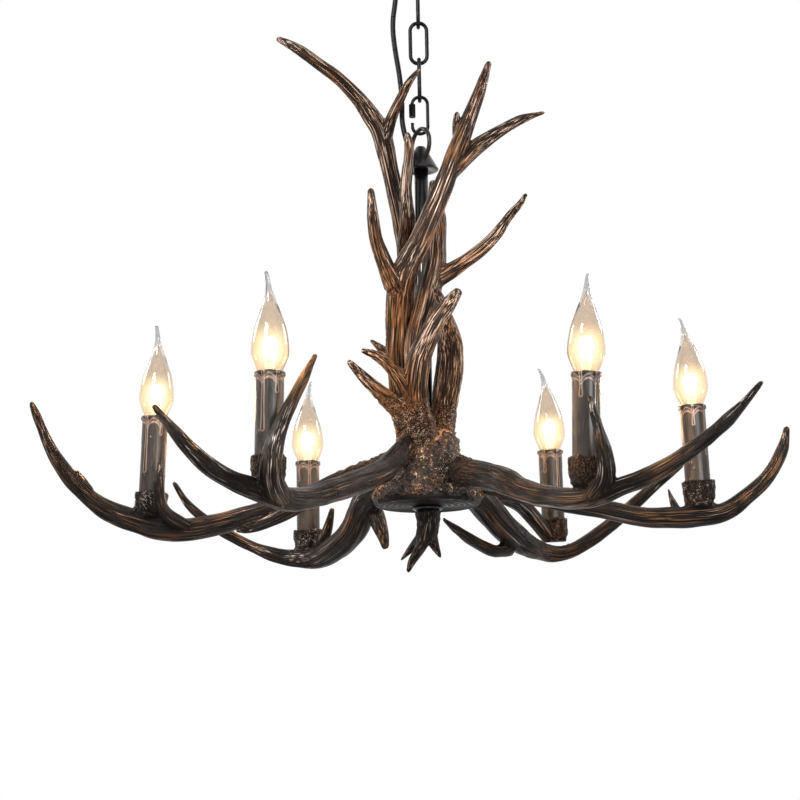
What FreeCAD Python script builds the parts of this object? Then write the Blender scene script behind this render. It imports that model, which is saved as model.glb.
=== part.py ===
import FreeCAD, Part
import math
import os

# Antler chandelier: six moulded antler arms with candle lamps and four upper antlers on a hub,
# hung from a column, a ring, a quick link and a chain below a ceiling cup.
# Frame: millimetres, +Z up, origin on the ceiling above the column. Everything hangs below it.

V = FreeCAD.Vector
doc = FreeCAD.newDocument("antler_chandelier")

# ---------------------------------------------------------------- driving sizes
sizes = doc.addObject("Spreadsheet::Sheet", "Sizes")
driving_sizes = [
    ("bracket_length", 92, "ceiling strap"),
    ("bracket_width", 22, ""),
    ("bracket_thickness", 2.5, ""),
    ("boss_diameter", 18, "boss that takes the loop stem"),
    ("boss_height", 7, ""),
    ("screw_spacing", 64, "ceiling screws, centre to centre"),
    ("screw_diameter", 4.5, ""),
    ("cup_diameter", 110, "ceiling cup"),
    ("cup_depth", 22, ""),
    ("cup_wall", 1.2, ""),
    ("stem_diameter", 10, "loop stem"),
    ("loop_wire", 5, "ceiling loop"),
    ("loop_width", 21.5, ""),
    ("nut_height", 5, ""),
    ("gland_length", 20, "cord grip"),
    ("cord_diameter", 5.5, ""),
    ("link_length", 48, "chain link, outside"),
    ("link_width", 21, ""),
    ("link_wire", 4, ""),
    ("link_play", 0.2, "gap between two links at rest"),
    ("quick_length", 43, "quick link, outside"),
    ("quick_width", 19.3, ""),
    ("quick_wire", 3.5, ""),
    ("quick_gap", 6, "opening that the sleeve closes"),
    ("quick_sleeve_length", 13.8, ""),
    ("ring_diameter", 38, "hanging ring, outside"),
    ("ring_wire", 4.6, ""),
    ("ring_play", 0.8, "gap above the ring, which hangs askew in the quick link"),
    ("cap_diameter", 36, "cone on the column"),
    ("cap_height", 24, ""),
    ("cap_wall", 1.6, ""),
    ("column_diameter", 14, ""),
    ("column_wall", 1.5, ""),
    ("column_length", 359, ""),
    ("hub_height", 62, ""),
    ("hub_foot_diameter", 96, ""),
    ("hub_top_diameter", 70, ""),
    ("disc_diameter", 109, "base disc"),
    ("disc_thickness", 13, ""),
    ("collar_diameter", 30, ""),
    ("collar_height", 4, ""),
    ("stud_diameter", 5, "arm stud"),
    ("stud_length", 30, ""),
    ("candle_circle", 540, "circle through the tops of the candles"),
    ("cup_seat_diameter", 34, "burr cup on an arm"),
    ("cup_seat_height", 26, ""),
    ("sleeve_diameter", 27, "candle sleeve"),
    ("sleeve_length", 94, ""),
    ("sleeve_wall", 1.3, ""),
    ("socket_depth", 18, "sleeve below the rim of its cup"),
    ("holder_diameter", 22, "lampholder"),
    ("holder_length", 82, ""),
    ("base_diameter", 13.8, "bulb screw base"),
    ("base_length", 19, ""),
    ("glass_diameter", 35, "bulb glass"),
    ("glass_length", 96, ""),
    ("glass_wall", 0.8, ""),
    ("fit_gap", 0.3, "gap round what fits into something"),
    ("thread_gap", 0.05, "gap round what is screwed in"),
]
for row, (alias, value, note) in enumerate(driving_sizes, start=1):
    sizes.set(f"A{row}", alias)
    sizes.set(f"B{row}", str(value))
    sizes.setAlias(f"B{row}", alias)
    sizes.set(f"C{row}", note)
doc.recompute()


def size(alias):
    return float(sizes.get(alias))


# ---------------------------------------------------------------- heights, from the ceiling down
loop_wire_z = -(size("cup_depth") + size("nut_height") + size("loop_width")) + size("loop_wire") / 2
link_reach = size("link_length") - size("link_wire")
link_pitch = link_reach - size("link_wire") - size("link_play")
first_link_z = (loop_wire_z + size("loop_wire") / 2 + size("link_wire") / 2 + size("link_play")
                - link_reach / 2)
link_count = 4
stem_sides = 12
link_heights = [first_link_z - number * link_pitch for number in range(link_count)]
last_link_wire_z = link_heights[-1] - link_reach / 2
quick_reach = size("quick_length") - size("quick_wire")
quick_z = (last_link_wire_z + size("link_wire") / 2 + size("quick_wire") / 2 + size("link_play")
           - quick_reach / 2)
quick_wire_z = quick_z - quick_reach / 2
ring_reach = size("ring_diameter") - size("ring_wire")
ring_z = (quick_wire_z + size("quick_wire") / 2 + size("ring_wire") / 2 + size("ring_play")
          - ring_reach / 2)
cap_top_z = ring_z - 2
cap_rim_z = cap_top_z - size("cap_height")
column_into_cap = 3
column_below_disc = 9
disc_bottom_z = cap_rim_z + column_into_cap + column_below_disc - size("column_length")
disc_top_z = disc_bottom_z + size("disc_thickness")
hub_top_z = disc_top_z + size("hub_height")
candle_seat_z = disc_bottom_z - 1

# ---------------------------------------------------------------- shared helpers
nodes = []


def node(feature, label):
    """Gives a finished feature the name of its sub-part."""
    feature.Label = label
    nodes.append(feature)
    return feature


def bind(feature, **expressions):
    for name, text in expressions.items():
        feature.setExpression(name, text)
    return feature


def moved(feature, x, y, z, axis=V(0, 0, 1), angle=0):
    feature.Placement = FreeCAD.Placement(V(x, y, z), FreeCAD.Rotation(axis, angle))
    return feature


def cylinder(radius, height, z, x=0, y=0):
    """Upright cylinder: radius and height are expressions on the sheet, z is its foot."""
    feature = doc.addObject("Part::Cylinder", "Cylinder")
    bind(feature, Radius=radius, Height=height)
    return moved(feature, x, y, z)


def cut(base, tool):
    feature = doc.addObject("Part::Cut", "Cut")
    feature.Base = base
    feature.Tool = tool
    return feature


def fused(shapes):
    feature = doc.addObject("Part::MultiFuse", "Fusion")
    feature.Shapes = shapes
    return feature


def section(centre, along, across, diameter, sides):
    """Regular polygon square to a path, with one corner towards across."""
    feature = doc.addObject("Part::RegularPolygon", "Section")
    feature.Polygon = sides
    feature.Circumradius = diameter / 2
    z_axis = V(along).normalize()
    x_axis = (across - z_axis * across.dot(z_axis)).normalize()
    turn = FreeCAD.Rotation(x_axis, z_axis.cross(x_axis), z_axis, "ZXY")
    feature.Placement = FreeCAD.Placement(centre, turn)
    return feature


def loft(sections, closed=False):
    feature = doc.addObject("Part::Loft", "Loft")
    feature.Sections = sections
    feature.Solid = True
    feature.Ruled = True
    feature.Closed = closed
    return feature


def smooth(points, steps):
    """Catmull-Rom curve through points of any dimension, with steps pieces in each span."""
    ends = [tuple(2 * a - b for a, b in zip(points[0], points[1]))]
    ends.extend(points)
    ends.append(tuple(2 * a - b for a, b in zip(points[-1], points[-2])))
    curve = []
    for before, start, stop, after in zip(ends, ends[1:], ends[2:], ends[3:]):
        for step in range(steps):
            t = step / steps
            curve.append(tuple(
                b + t * (c - a) / 2 + t * t * (a - 2.5 * b + 2 * c - d / 2)
                + t ** 3 * (1.5 * (b - c) + (d - a) / 2)
                for a, b, c, d in zip(before, start, stop, after)))
    curve.append(tuple(points[-1]))
    return curve


def horn(points, sides, steps):
    """Tapered curved solid through points (x, y, z, diameter)."""
    curve = smooth(points, steps)
    places = [V(*point[:3]) for point in curve]
    across = V(1, 0, 0) if abs((places[1] - places[0]).normalize().x) < 0.8 else V(0, 1, 0)
    sections = []
    for number, (place, point) in enumerate(zip(places, curve)):
        along = places[min(number + 1, len(places) - 1)] - places[max(number - 1, 0)]
        sections.append(section(place, along, across, point[3], sides))
        across = across - along * (across.dot(along) / along.dot(along))
    return loft(sections)


def wire_loop(centre, length, width, wire, turn, bend_steps, sides=8):
    """Closed loop of round wire, upright, in a vertical plane turned from the X axis."""
    bend = (width - wire) / 2
    straight = (length - width) / 2
    outward = V(math.cos(math.radians(turn)), math.sin(math.radians(turn)), 0)
    sideways = V(0, 0, 1).cross(outward)
    sections = []
    for half, lift in ((0, straight), (180, -straight)):
        first = 0 if half == 0 or straight > 0 else 1
        last = bend_steps if straight > 0 or half == 0 else bend_steps - 1
        for step in range(first, last + 1):
            angle = math.radians(half + 180 * step / bend_steps)
            radial = outward * math.cos(angle) + V(0, 0, math.sin(angle))
            place = centre + V(0, 0, lift) + radial * bend
            sections.append(section(place, radial.cross(sideways), radial, wire, sides))
    return loft(sections, closed=True)


def lathe(profile, sides, turn=0):
    """Upright faceted turned piece through stations (diameter, z)."""
    across = V(math.cos(math.radians(turn)), math.sin(math.radians(turn)), 0)
    return loft([section(V(0, 0, z), V(0, 0, 1), across, diameter, sides)
                 for diameter, z in profile])


def sketch_loop(body, name, plane, corners):
    """Closed straight-sided sketch on one of the body's origin planes."""
    sketch = body.newObject("Sketcher::SketchObject", name)
    plane_feature = [item for item in body.Origin.OriginFeatures if item.Role == plane][0]
    sketch.AttachmentSupport = (plane_feature, [""])
    sketch.MapMode = "FlatFace"
    for start, stop in zip(corners, corners[1:] + corners[:1]):
        sketch.addGeometry(Part.LineSegment(V(*start, 0), V(*stop, 0)), False)
    return sketch


def turned_body(label, profile, z=0, x=0, y=0):
    """PartDesign revolution of a half profile (radius, height) round the upright axis."""
    body = doc.addObject("PartDesign::Body", label)
    sketch = sketch_loop(body, "Profile", "XZ_Plane", profile)
    turning = body.newObject("PartDesign::Revolution", "Turning")
    turning.Profile = sketch
    turning.ReferenceAxis = (sketch, ["V_Axis"])
    turning.Angle = 360
    body.Tip = turning
    return moved(body, x, y, z)


# ---------------------------------------------------------------- ceiling fitting
def faceted_bore(height, foot):
    """Bore for the loop stem, with the stem's own facets."""
    bore = doc.addObject("Part::Prism", "StemBore")
    bore.Polygon = stem_sides
    bind(bore, Circumradius="Sizes.stem_diameter / 2 + Sizes.thread_gap", Height=height)
    return moved(bore, 0, 0, foot)


def make_bracket():
    strap = doc.addObject("Part::Box", "Strap")
    bind(strap, Length="Sizes.bracket_length", Width="Sizes.bracket_width",
         Height="Sizes.bracket_thickness")
    moved(strap, -size("bracket_length") / 2, -size("bracket_width") / 2,
          -size("bracket_thickness"))
    foot = -size("bracket_thickness") - size("boss_height")
    boss = doc.addObject("Part::Prism", "Boss")
    boss.Polygon = 16
    bind(boss, Circumradius="Sizes.boss_diameter / 2", Height="Sizes.boss_height")
    blank = fused([strap, moved(boss, 0, 0, foot)])
    holes = [faceted_bore("Sizes.boss_height - Sizes.fit_gap", foot)]
    for side in (-1, 1):
        holes.append(cylinder("Sizes.screw_diameter / 2 + Sizes.fit_gap / 2",
                              "Sizes.bracket_thickness", -size("bracket_thickness"),
                              x=side * size("screw_spacing") / 2))
    node(cut(blank, fused(holes)), "ceiling_bracket")


def make_canopy_cup():
    radius, depth, wall = size("cup_diameter") / 2, size("cup_depth"), size("cup_wall")
    foot = radius - 9
    profile = [(radius, 0), (radius, -depth * 0.45), (foot, -depth),
               (size("stem_diameter") / 2 + size("fit_gap"), -depth),
               (size("stem_diameter") / 2 + size("fit_gap"), -depth + wall),
               (foot - wall, -depth + wall), (radius - wall, -depth * 0.45 + wall / 2),
               (radius - wall, 0)]
    shell = turned_body("canopy_shell", profile)
    gland_hole = doc.addObject("Part::Prism", "GlandHole")
    gland_hole.Polygon = 12
    bind(gland_hole, Circumradius="Sizes.cord_diameter / 2 + 3 + Sizes.fit_gap",
         Height="Sizes.cup_wall * 2")
    moved(gland_hole, cord_x, 0, -depth - wall / 2)
    node(cut(shell, gland_hole), "canopy_cup")


def make_canopy_loop():
    loop_z = loop_wire_z + (size("loop_width") - size("loop_wire")) / 2
    loop = wire_loop(V(0, 0, loop_z), size("loop_width"), size("loop_width"),
                     size("loop_wire"), 90, bend_steps=6)
    stem_foot = loop_z + (size("loop_width") - size("loop_wire")) / 2
    stem_top = -size("bracket_thickness") - 2 * size("fit_gap")
    stem = lathe([(size("stem_diameter"), stem_foot), (size("stem_diameter"), stem_top)],
                 stem_sides)
    node(fused([loop, stem]), "canopy_loop")


def make_stem_nuts():
    """Round nut under the cup, hexagon nut under the boss, both on the stem."""
    thread = size("stem_diameter") / 2 + size("thread_gap")
    top = -size("cup_depth")
    profile = [(thread, top), (13, top), (13, top - 2), (11, top - size("nut_height")),
               (thread, top - size("nut_height"))]
    node(turned_body("canopy_nut", profile), "canopy_nut")
    hexagon = doc.addObject("Part::Prism", "Hexagon")
    hexagon.Polygon = 6
    bind(hexagon, Circumradius="Sizes.stem_diameter * 0.92", Height="Sizes.nut_height")
    foot = -size("bracket_thickness") - size("boss_height") - size("nut_height")
    moved(hexagon, 0, 0, foot)
    node(cut(hexagon, faceted_bore("Sizes.nut_height", foot)), "stem_locknut")


def make_cord_gland():
    """Flanged grip through the cup floor, tapering down to the cord."""
    neck = size("cord_diameter") / 2 + 3
    depth, wall = size("cup_depth"), size("cup_wall")
    tip = size("cord_diameter") / 2 + 1
    shank = moved(lathe([(2 * neck, -depth - 1), (2 * neck, -depth + wall + 4)], 12), cord_x, 0, 0)
    grip = moved(lathe([(2 * tip, -depth - size("gland_length")), (2 * neck, -depth - 4),
                        (2 * neck + 4, -depth - 3), (2 * neck + 4, -depth)], 12), cord_x, 0, 0)
    node(fused([shank, grip]), "cord_gland")


def make_terminal_block():
    """Three-way block standing on the cup floor, with its wire ways."""
    length, width, height = 26, 14, 11
    floor = -size("cup_depth") + size("cup_wall")
    block = doc.addObject("Part::Box", "Block")
    block.Length, block.Width, block.Height = length, width, height
    moved(block, -length / 2, 20, floor)
    ways = []
    for way in (-1, 0, 1):
        bore = doc.addObject("Part::Prism", "WireWay")
        bore.Polygon, bore.Circumradius, bore.Height = 8, 2, width
        ways.append(moved(bore, way * 8, 20 + width, floor + height / 2, V(1, 0, 0), 90))
    node(cut(block, fused(ways)), "terminal_block")


# ---------------------------------------------------------------- chain, quick link, ring
def make_chain():
    """The links stand in turn across and along the view."""
    for number, height in enumerate(link_heights):
        link = wire_loop(V(0, 0, height), size("link_length"), size("link_width"),
                         size("link_wire"), 0 if number % 2 == 0 else 90, bend_steps=4)
        node(link, f"chain_link_{number + 1}")


def make_quick_link():
    """Open link: its left leg has a gap, and a hexagon sleeve screwed up above the gap."""
    bend = (size("quick_width") - size("quick_wire")) / 2
    straight = (size("quick_length") - size("quick_width")) / 2
    steps = 4
    leg_end = straight - size("quick_sleeve_length")
    stub_end = leg_end - size("quick_gap")
    path = [(-bend, stub_end, 0, -1)]
    for half, lift in ((180, -straight), (0, straight)):
        for step in range(steps + 1):
            angle = math.radians(half + 180 * step / steps)
            path.append((bend * math.cos(angle), lift + bend * math.sin(angle),
                         -math.sin(angle), math.cos(angle)))
    path.append((-bend, leg_end, 0, -1))
    sections = [section(V(x, 0, quick_z + z), V(dx, 0, dz), V(0, 1, 0), size("quick_wire"), 8)
                for x, z, dx, dz in path]
    node(loft(sections), "quick_link")
    sleeve = doc.addObject("Part::Prism", "SleeveHexagon")
    sleeve.Polygon = 6
    bind(sleeve, Circumradius="Sizes.quick_wire * 1.1", Height="Sizes.quick_sleeve_length")
    moved(sleeve, -bend, 0, quick_z + leg_end)
    bore = cylinder("Sizes.quick_wire / 2 + 0.1", "Sizes.quick_sleeve_length",
                    quick_z + leg_end, x=-bend)
    node(cut(sleeve, bore), "quick_link_sleeve")


def make_ring_and_cap():
    """Ring through two holes in the hollow cone that closes the column."""
    ring = wire_loop(V(0, 0, ring_z), size("ring_diameter"), size("ring_diameter"),
                     size("ring_wire"), ring_turn, bend_steps=6)
    node(ring, "hanging_ring")
    across, wall = size("cap_diameter"), size("cap_wall")
    outside = lathe([(across - 1, cap_rim_z - wall), (across, cap_rim_z), (8, cap_top_z)], 16)
    inside = lathe([(across - 2 * wall, cap_rim_z), (8 - 2 * wall, cap_top_z - wall)], 16)
    shell = cut(outside, inside)
    ring_way = wire_loop(V(0, 0, ring_z), size("ring_diameter") + 2 * size("fit_gap"),
                         size("ring_diameter") + 2 * size("fit_gap"),
                         size("ring_wire") + 2 * size("fit_gap"), ring_turn, bend_steps=6)
    tube_way = cylinder("Sizes.column_diameter / 2 + Sizes.thread_gap", "Sizes.cap_wall",
                        cap_rim_z - size("cap_wall"))
    bush_way = bush_rod("Sizes.thread_gap", bush_length + 3)
    node(cut(shell, fused([ring_way, tube_way, bush_way])), "column_cap")


def bush_rod(gap, length):
    """Twelve-sided rod from the cord's end into the cone."""
    rod = doc.addObject("Part::Prism", "BushRod")
    rod.Polygon = 12
    bind(rod, Circumradius=f"Sizes.cord_diameter / 2 + 1.5 + {gap}")
    rod.Height = length
    rod.Placement = FreeCAD.Placement(cord_end, FreeCAD.Rotation(V(0, 0, 1), -cord_end_axis))
    return rod


def make_cord_bush():
    """Short bush in the cone wall: the cord ends on its outer face."""
    node(bush_rod("0", bush_length), "cord_bush")


# ---------------------------------------------------------------- cord
cord_x = -22
ring_turn = -58
bush_length = 12
cord_points = [V(cord_x, 0, -size("cup_depth") - size("gland_length")),
               V(-21, 0, -70), V(-23, 0, -96), V(-27, 0, -122), V(-24.5, 0, -150),
               V(-20, 0, -178), V(-18, -1, -206), V(-19, -4.5, -234), V(-12, -6, -257)]
cord_end = cord_points[-1]
cord_end_axis = (cord_points[-2] - cord_end).normalize()


def make_cord():
    """Straight runs joined by tangent arcs, each as wide as its runs allow."""
    edges = []
    start = cord_points[0]
    radii = []
    for before, corner, after in zip(cord_points, cord_points[1:], cord_points[2:]):
        back = (before - corner).normalize()
        ahead = (after - corner).normalize()
        half_turn = (math.pi - back.getAngle(ahead)) / 2
        setback = 0.45 * min((before - corner).Length, (after - corner).Length)
        radius = setback / math.tan(half_turn)
        radii.append(round(radius, 1))
        arc_start = corner + back * setback
        arc_stop = corner + ahead * setback
        middle = (back + ahead).normalize()
        apex = corner + middle * (radius / math.cos(half_turn) - radius)
        edges.append(Part.LineSegment(start, arc_start).toShape())
        edges.append(Part.Arc(arc_start, apex, arc_stop).toShape())
        start = arc_stop
    edges.append(Part.LineSegment(start, cord_points[-1]).toShape())
    path = Part.Wire(edges)
    sides = 12
    ring = [cord_points[0] + V(math.cos(2 * math.pi * side / sides),
                               math.sin(2 * math.pi * side / sides), 0) * size("cord_diameter") / 2
            for side in range(sides + 1)]
    outline = Part.makePolygon(ring)
    cord = doc.addObject("Part::Feature", "Cord")
    cord.Shape = path.makePipeShell([outline], True, False)
    node(cord, "power_cord")
    expected = Part.Face(outline).Area * path.Length
    print("cord arc radii", radii, "length", round(path.Length, 1),
          "volume against section times length", round(cord.Shape.Volume / expected, 4))


# ---------------------------------------------------------------- column, hub, disc, finial
def make_column():
    foot = disc_bottom_z - column_below_disc
    outside = doc.addObject("Part::Cylinder", "ColumnOutside")
    inside = doc.addObject("Part::Cylinder", "ColumnInside")
    bind(outside, Radius="Sizes.column_diameter / 2", Height="Sizes.column_length")
    bind(inside, Radius="Sizes.column_diameter / 2 - Sizes.column_wall",
         Height="Sizes.column_length")
    node(cut(moved(outside, 0, 0, foot), moved(inside, 0, 0, foot)), "column_tube")


def stud_axis(arm):
    """Foot and direction of the stud that joins an arm to the hub."""
    reach, rise = 24, arm["beam"][0][1]
    turn = math.radians(arm["turn"])
    slope = (arm["beam"][1][1] - rise) / (arm["beam"][1][0] - arm["beam"][0][0])
    outward = V(math.cos(turn), math.sin(turn), 0)
    foot = outward * reach + V(0, 0, seat_z(arm) + rise + slope * (reach - arm["beam"][0][0]))
    return foot, (outward + V(0, 0, slope)).normalize()


def studs(gap):
    rods = []
    for arm in arms:
        foot, along = stud_axis(arm)
        rod = lathe([(size("stud_diameter") + 2 * gap, 0),
                     (size("stud_diameter") + 2 * gap, size("stud_length") + gap)], 8)
        rod.Placement = FreeCAD.Placement(foot - along * gap, FreeCAD.Rotation(V(0, 0, 1), along))
        rods.append(rod)
    return rods


def make_hub():
    """Burr-covered cone: the arms meet its flank and the upper antlers its top."""
    foot, top = size("hub_foot_diameter"), size("hub_top_diameter")
    height = size("hub_height")
    profile = [(foot, disc_top_z), (foot * 1.06, disc_top_z + 0.12 * height),
               (foot * 0.98, disc_top_z + 0.4 * height), (top * 1.06, disc_top_z + 0.75 * height),
               (top, disc_top_z + height)]
    blank = lathe(profile, 16)
    bore = cylinder("Sizes.column_diameter / 2 + Sizes.thread_gap", "Sizes.hub_height", disc_top_z)
    node(cut(blank, fused([bore] + studs(stud_gap))), "hub_body")
    return blank


def make_arm_studs():
    group = doc.addObject("Part::Compound", "Studs")
    group.Links = studs(0)
    node(group, "arm_studs")


def make_disc():
    across, thick = size("disc_diameter"), size("disc_thickness")
    blank = lathe([(across - 6, disc_bottom_z), (across, disc_bottom_z + 0.3 * thick),
                   (across - 1, disc_bottom_z + 0.75 * thick), (across - 7, disc_top_z)], 24)
    bore = cylinder("Sizes.column_diameter / 2 + Sizes.thread_gap", "Sizes.disc_thickness", disc_bottom_z)
    node(cut(blank, bore), "base_disc")


def make_finial():
    """Turned collar with a small three-tined antler stub below it."""
    radius, height = size("collar_diameter") / 2, size("collar_height")
    tube = size("column_diameter") / 2 + size("thread_gap")
    collar = [(tube, disc_bottom_z), (radius, disc_bottom_z), (radius, disc_bottom_z - 0.6 * height),
              (radius - 2, disc_bottom_z - height), (tube, disc_bottom_z - height)]
    node(turned_body("finial_collar", collar), "finial_collar")
    top = disc_bottom_z - height
    body = horn([(0, 0, top, 30), (0, 0, top - 7, 26), (0, 0, top - 16, 22), (-3, 0, top - 30, 21)],
                10, 1)
    front = horn([(-4, -2, top - 26, 16), (-9, -5, top - 38, 12), (-17, -9, top - 52, 8),
                  (-21, -10, top - 62, 3)], 7, 1)
    left = horn([(-5, 3, top - 26, 14), (-16, 4, top - 36, 9), (-28, 3, top - 49, 3)], 7, 2)
    right = horn([(2, 1, top - 22, 14), (6, 1, top - 34, 10), (12, 0, top - 47, 3)], 7, 2)
    stub = fused([body, front, left, right])
    tube_end = cylinder("Sizes.column_diameter / 2 + Sizes.fit_gap", "6", top - 6)
    node(cut(stub, tube_end), "finial")


# ---------------------------------------------------------------- candle arms
# Points are (reach from the axis, height above the candle seat, sideways, diameter). The seat
# is where the sleeve stands; sideways is positive anticlockwise seen from above. Reach inside
# the candle is stretched to the candle circle, reach outside it is carried along. Out is how
# far an arm holds its candle off that circle.
nominal_circle_radius = 270
root_depth = 18
stud_gap = 0.15
arms = [
    {"turn": 0, "rise": 5, "lean": 1.8, "out": -4, "flame_turn": 160,
     "beam": [(28, 33, 0, 24), (60, 20, 0, 23), (100, 7, 0, 22), (171, -8, 0, 20), (215, -17, 0, 20),
              (254, -18, 0, 22), (293, -15, 0, 20), (318, -1, 0, 17), (343, 22, 0, 14),
              (358, 48, 0, 11), (365, 70, 0, 5)],
     "tines": [[(252, -12, 10, 10), (248, 0, 15, 7), (244, 14, 17, 3)]]},
    {"turn": 59, "rise": 0, "lean": 2, "out": 0, "flame_turn": 190,
     "beam": [(40, 31, 0, 25), (68, 27, 0, 26), (103, 19, 0, 27), (147, -2, 0, 27), (193, -18, 0, 24),
              (246, -21, 0, 20), (276, -15, -12, 17), (300, 2, -32, 15), (316, 20, -59, 14),
              (320, 46, -95, 12), (317, 68, -138, 4)],
     "tines": [[(178, -24, 4, 15), (150, -28, 8, 14), (121, -22, 13, 12), (90, -12, 17, 10),
                (64, -2, 20, 4)],
               [(96, 28, 2, 16), (150, 27, 10, 17), (215, 18, 8, 16), (262, -4, 0, 16)],
               [(140, 30, 14, 10), (180, 27, 24, 9), (227, 8, 28, 3)]]},
    {"turn": 118.5, "rise": -7, "lean": 0, "out": 0, "flame_turn": 100,
     "beam": [(40, 44, 0, 26), (90, 40, 0, 27), (132, 26, 0, 29), (168, 6, -4, 29),
              (214, -9, -4, 28), (256, -15, 1, 24), (292, -10, 24, 17), (317, 4, 50, 13),
              (336, 23, 79, 12), (348, 48, 108, 10), (350, 75, 127, 4)],
     "tines": [[(126, 18, -8, 16), (116, -2, -10, 11), (108, -19, -10, 4)],
               [(250, -4, -10, 11), (244, 16, -16, 7), (238, 38, -18, 3)]]},
    {"turn": 180, "rise": 3, "lean": 2.8, "out": 0, "flame_turn": 10,
     "beam": [(27, 37, 0, 24), (87, 19, 0, 22), (141, 4, 0, 20), (202, -14, 0, 21),
              (245, -20, 0, 24), (289, -11, 0, 23), (333, 11, 0, 18), (370, 56, 0, 14),
              (395, 112, 0, 6)],
     "tines": [[(238, -18, 6, 14), (257, -7, 19, 14), (263, 7, 24, 12), (264, 25, 26, 11),
                (262, 49, 26, 3)],
               [(336, 20, 0, 11), (348, 41, 2, 3)],
               [(118, 6, 3, 15), (156, -14, 8, 13), (176, -21, 8, 10), (190, -23, 6, 4)]]},
    {"turn": 238.4, "rise": 0, "lean": 2, "out": 0, "flame_turn": 210,
     "beam": [(44, 45, 0, 25), (84, 27, 0, 25), (131, 10, 0, 24), (195, -9, 0, 22),
              (236, -18, 2, 22), (270, -19, 2, 21), (298, -16, -6, 19), (327, -4, -16, 17),
              (346, 17, -32, 14), (358, 57, -63, 6)],
     "tines": [[(262, -18, 4, 22), (292, -6, 14, 21), (293, 18, 15, 17), (283, 46, 18, 13),
                (268, 76, 25, 10), (252, 114, 36, 4)]]},
    {"turn": 301.5, "rise": -5, "lean": -3, "out": 0, "flame_turn": 350,
     "beam": [(44, 40, 0, 24), (79, 28, 0, 22), (134, 13, 0, 20), (175, -3, 0, 19),
              (231, -16, 0, 19), (273, -19, 0, 20), (304, -16, 8, 14), (339, -8, 21, 12),
              (366, 12, 42, 11), (387, 39, 69, 9), (396, 71, 96, 3)],
     "tines": [[(278, -18, -2, 18), (298, -6, -4, 17), (302, 10, -6, 15), (297, 38, -9, 11),
                (289, 70, -12, 4)]]},
]


def seat_z(arm):
    return candle_seat_z + arm["rise"]


def arm_point(arm, reach, height, sideways, diameter):
    """Place of an arm point in the frame, with its diameter."""
    root = size("hub_top_diameter") / 2
    circle = size("candle_circle") / 2 + arm["out"]
    if reach > nominal_circle_radius:
        reach = reach + circle - nominal_circle_radius
    elif reach > root:
        reach = root + (reach - root) * (circle - root) / (nominal_circle_radius - root)
    turn = math.radians(arm["turn"])
    return (reach * math.cos(turn) - sideways * math.sin(turn),
            reach * math.sin(turn) + sideways * math.cos(turn),
            seat_z(arm) + height, diameter)


def candle_placement(arm):
    """Foot of the candle on its seat, leaning in so that its top is on the candle circle."""
    lean = math.radians(arm["lean"])
    reach = size("candle_circle") / 2 + arm["out"] + size("sleeve_length") * math.sin(lean)
    turn = math.radians(arm["turn"])
    place = V(reach * math.cos(turn), reach * math.sin(turn), seat_z(arm))
    sideways = V(-math.sin(turn), math.cos(turn), 0)
    tilt = FreeCAD.Rotation(sideways, -arm["lean"])
    return FreeCAD.Placement(place, tilt)


def on_candle(feature, arm):
    feature.Placement = candle_placement(arm)
    return feature


def rooted(points):
    """The points with one more before them, deeper in the hub along the first run."""
    first, second = points[0], points[1]
    share = root_depth / (second[0] - first[0])
    root = tuple(a - share * (b - a) for a, b in zip(first[:3], second[:3]))
    return [(*root, first[3])] + points


def make_arm(number, arm, hub):
    beam = horn([arm_point(arm, *point) for point in rooted(arm["beam"])], 9, 1)
    tines = [horn([arm_point(arm, *point) for point in tine], 7, 1) for tine in arm["tines"]]
    across, height = size("cup_seat_diameter"), size("cup_seat_height")
    rim = size("socket_depth")
    cup = on_candle(lathe([(across * 0.8, rim - height), (across * 0.94, rim - height * 0.6),
                           (across, rim - height * 0.15), (across * 0.97, rim)], 12), arm)
    horn_shape = fused([beam, cup] + tines)
    socket = on_candle(lathe([(size("sleeve_diameter") + 2 * size("fit_gap"), 0),
                              (size("sleeve_diameter") + 2 * size("fit_gap"), 120)], 12), arm)
    trimmed = cut(cut(horn_shape, socket), hub)
    stud_way = studs(stud_gap)[number - 1]
    node(cut(trimmed, stud_way), f"arm_antler_{number}")


# ---------------------------------------------------------------- candles and bulbs
def make_candle(number, arm):
    """Sleeve with a rolled rim, and the lampholder that stands inside it."""
    across, wall = size("sleeve_diameter"), size("sleeve_wall")
    length = size("sleeve_length")
    outside = lathe([(across, 0), (across, length - 9), (across + 1.2, length - 5),
                     (across + 1.2, length - 1.5), (across - 1, length)], 12)
    inside = lathe([(across - 2 * wall, 0), (across - 2 * wall, length)], 12)
    node(on_candle(cut(outside, inside), arm), f"candle_sleeve_{number}")
    holder, tall = size("holder_diameter"), size("holder_length")
    body = lathe([(10, 0), (10, tall - 44), (holder, tall - 38), (holder, tall)], 10)
    bore = lathe([(size("base_diameter") + 2 * size("fit_gap"), tall - size("base_length") - 2),
                  (size("base_diameter") + 2 * size("fit_gap"), tall)], 10)
    node(on_candle(cut(body, bore), arm), f"lampholder_{number}")


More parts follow.
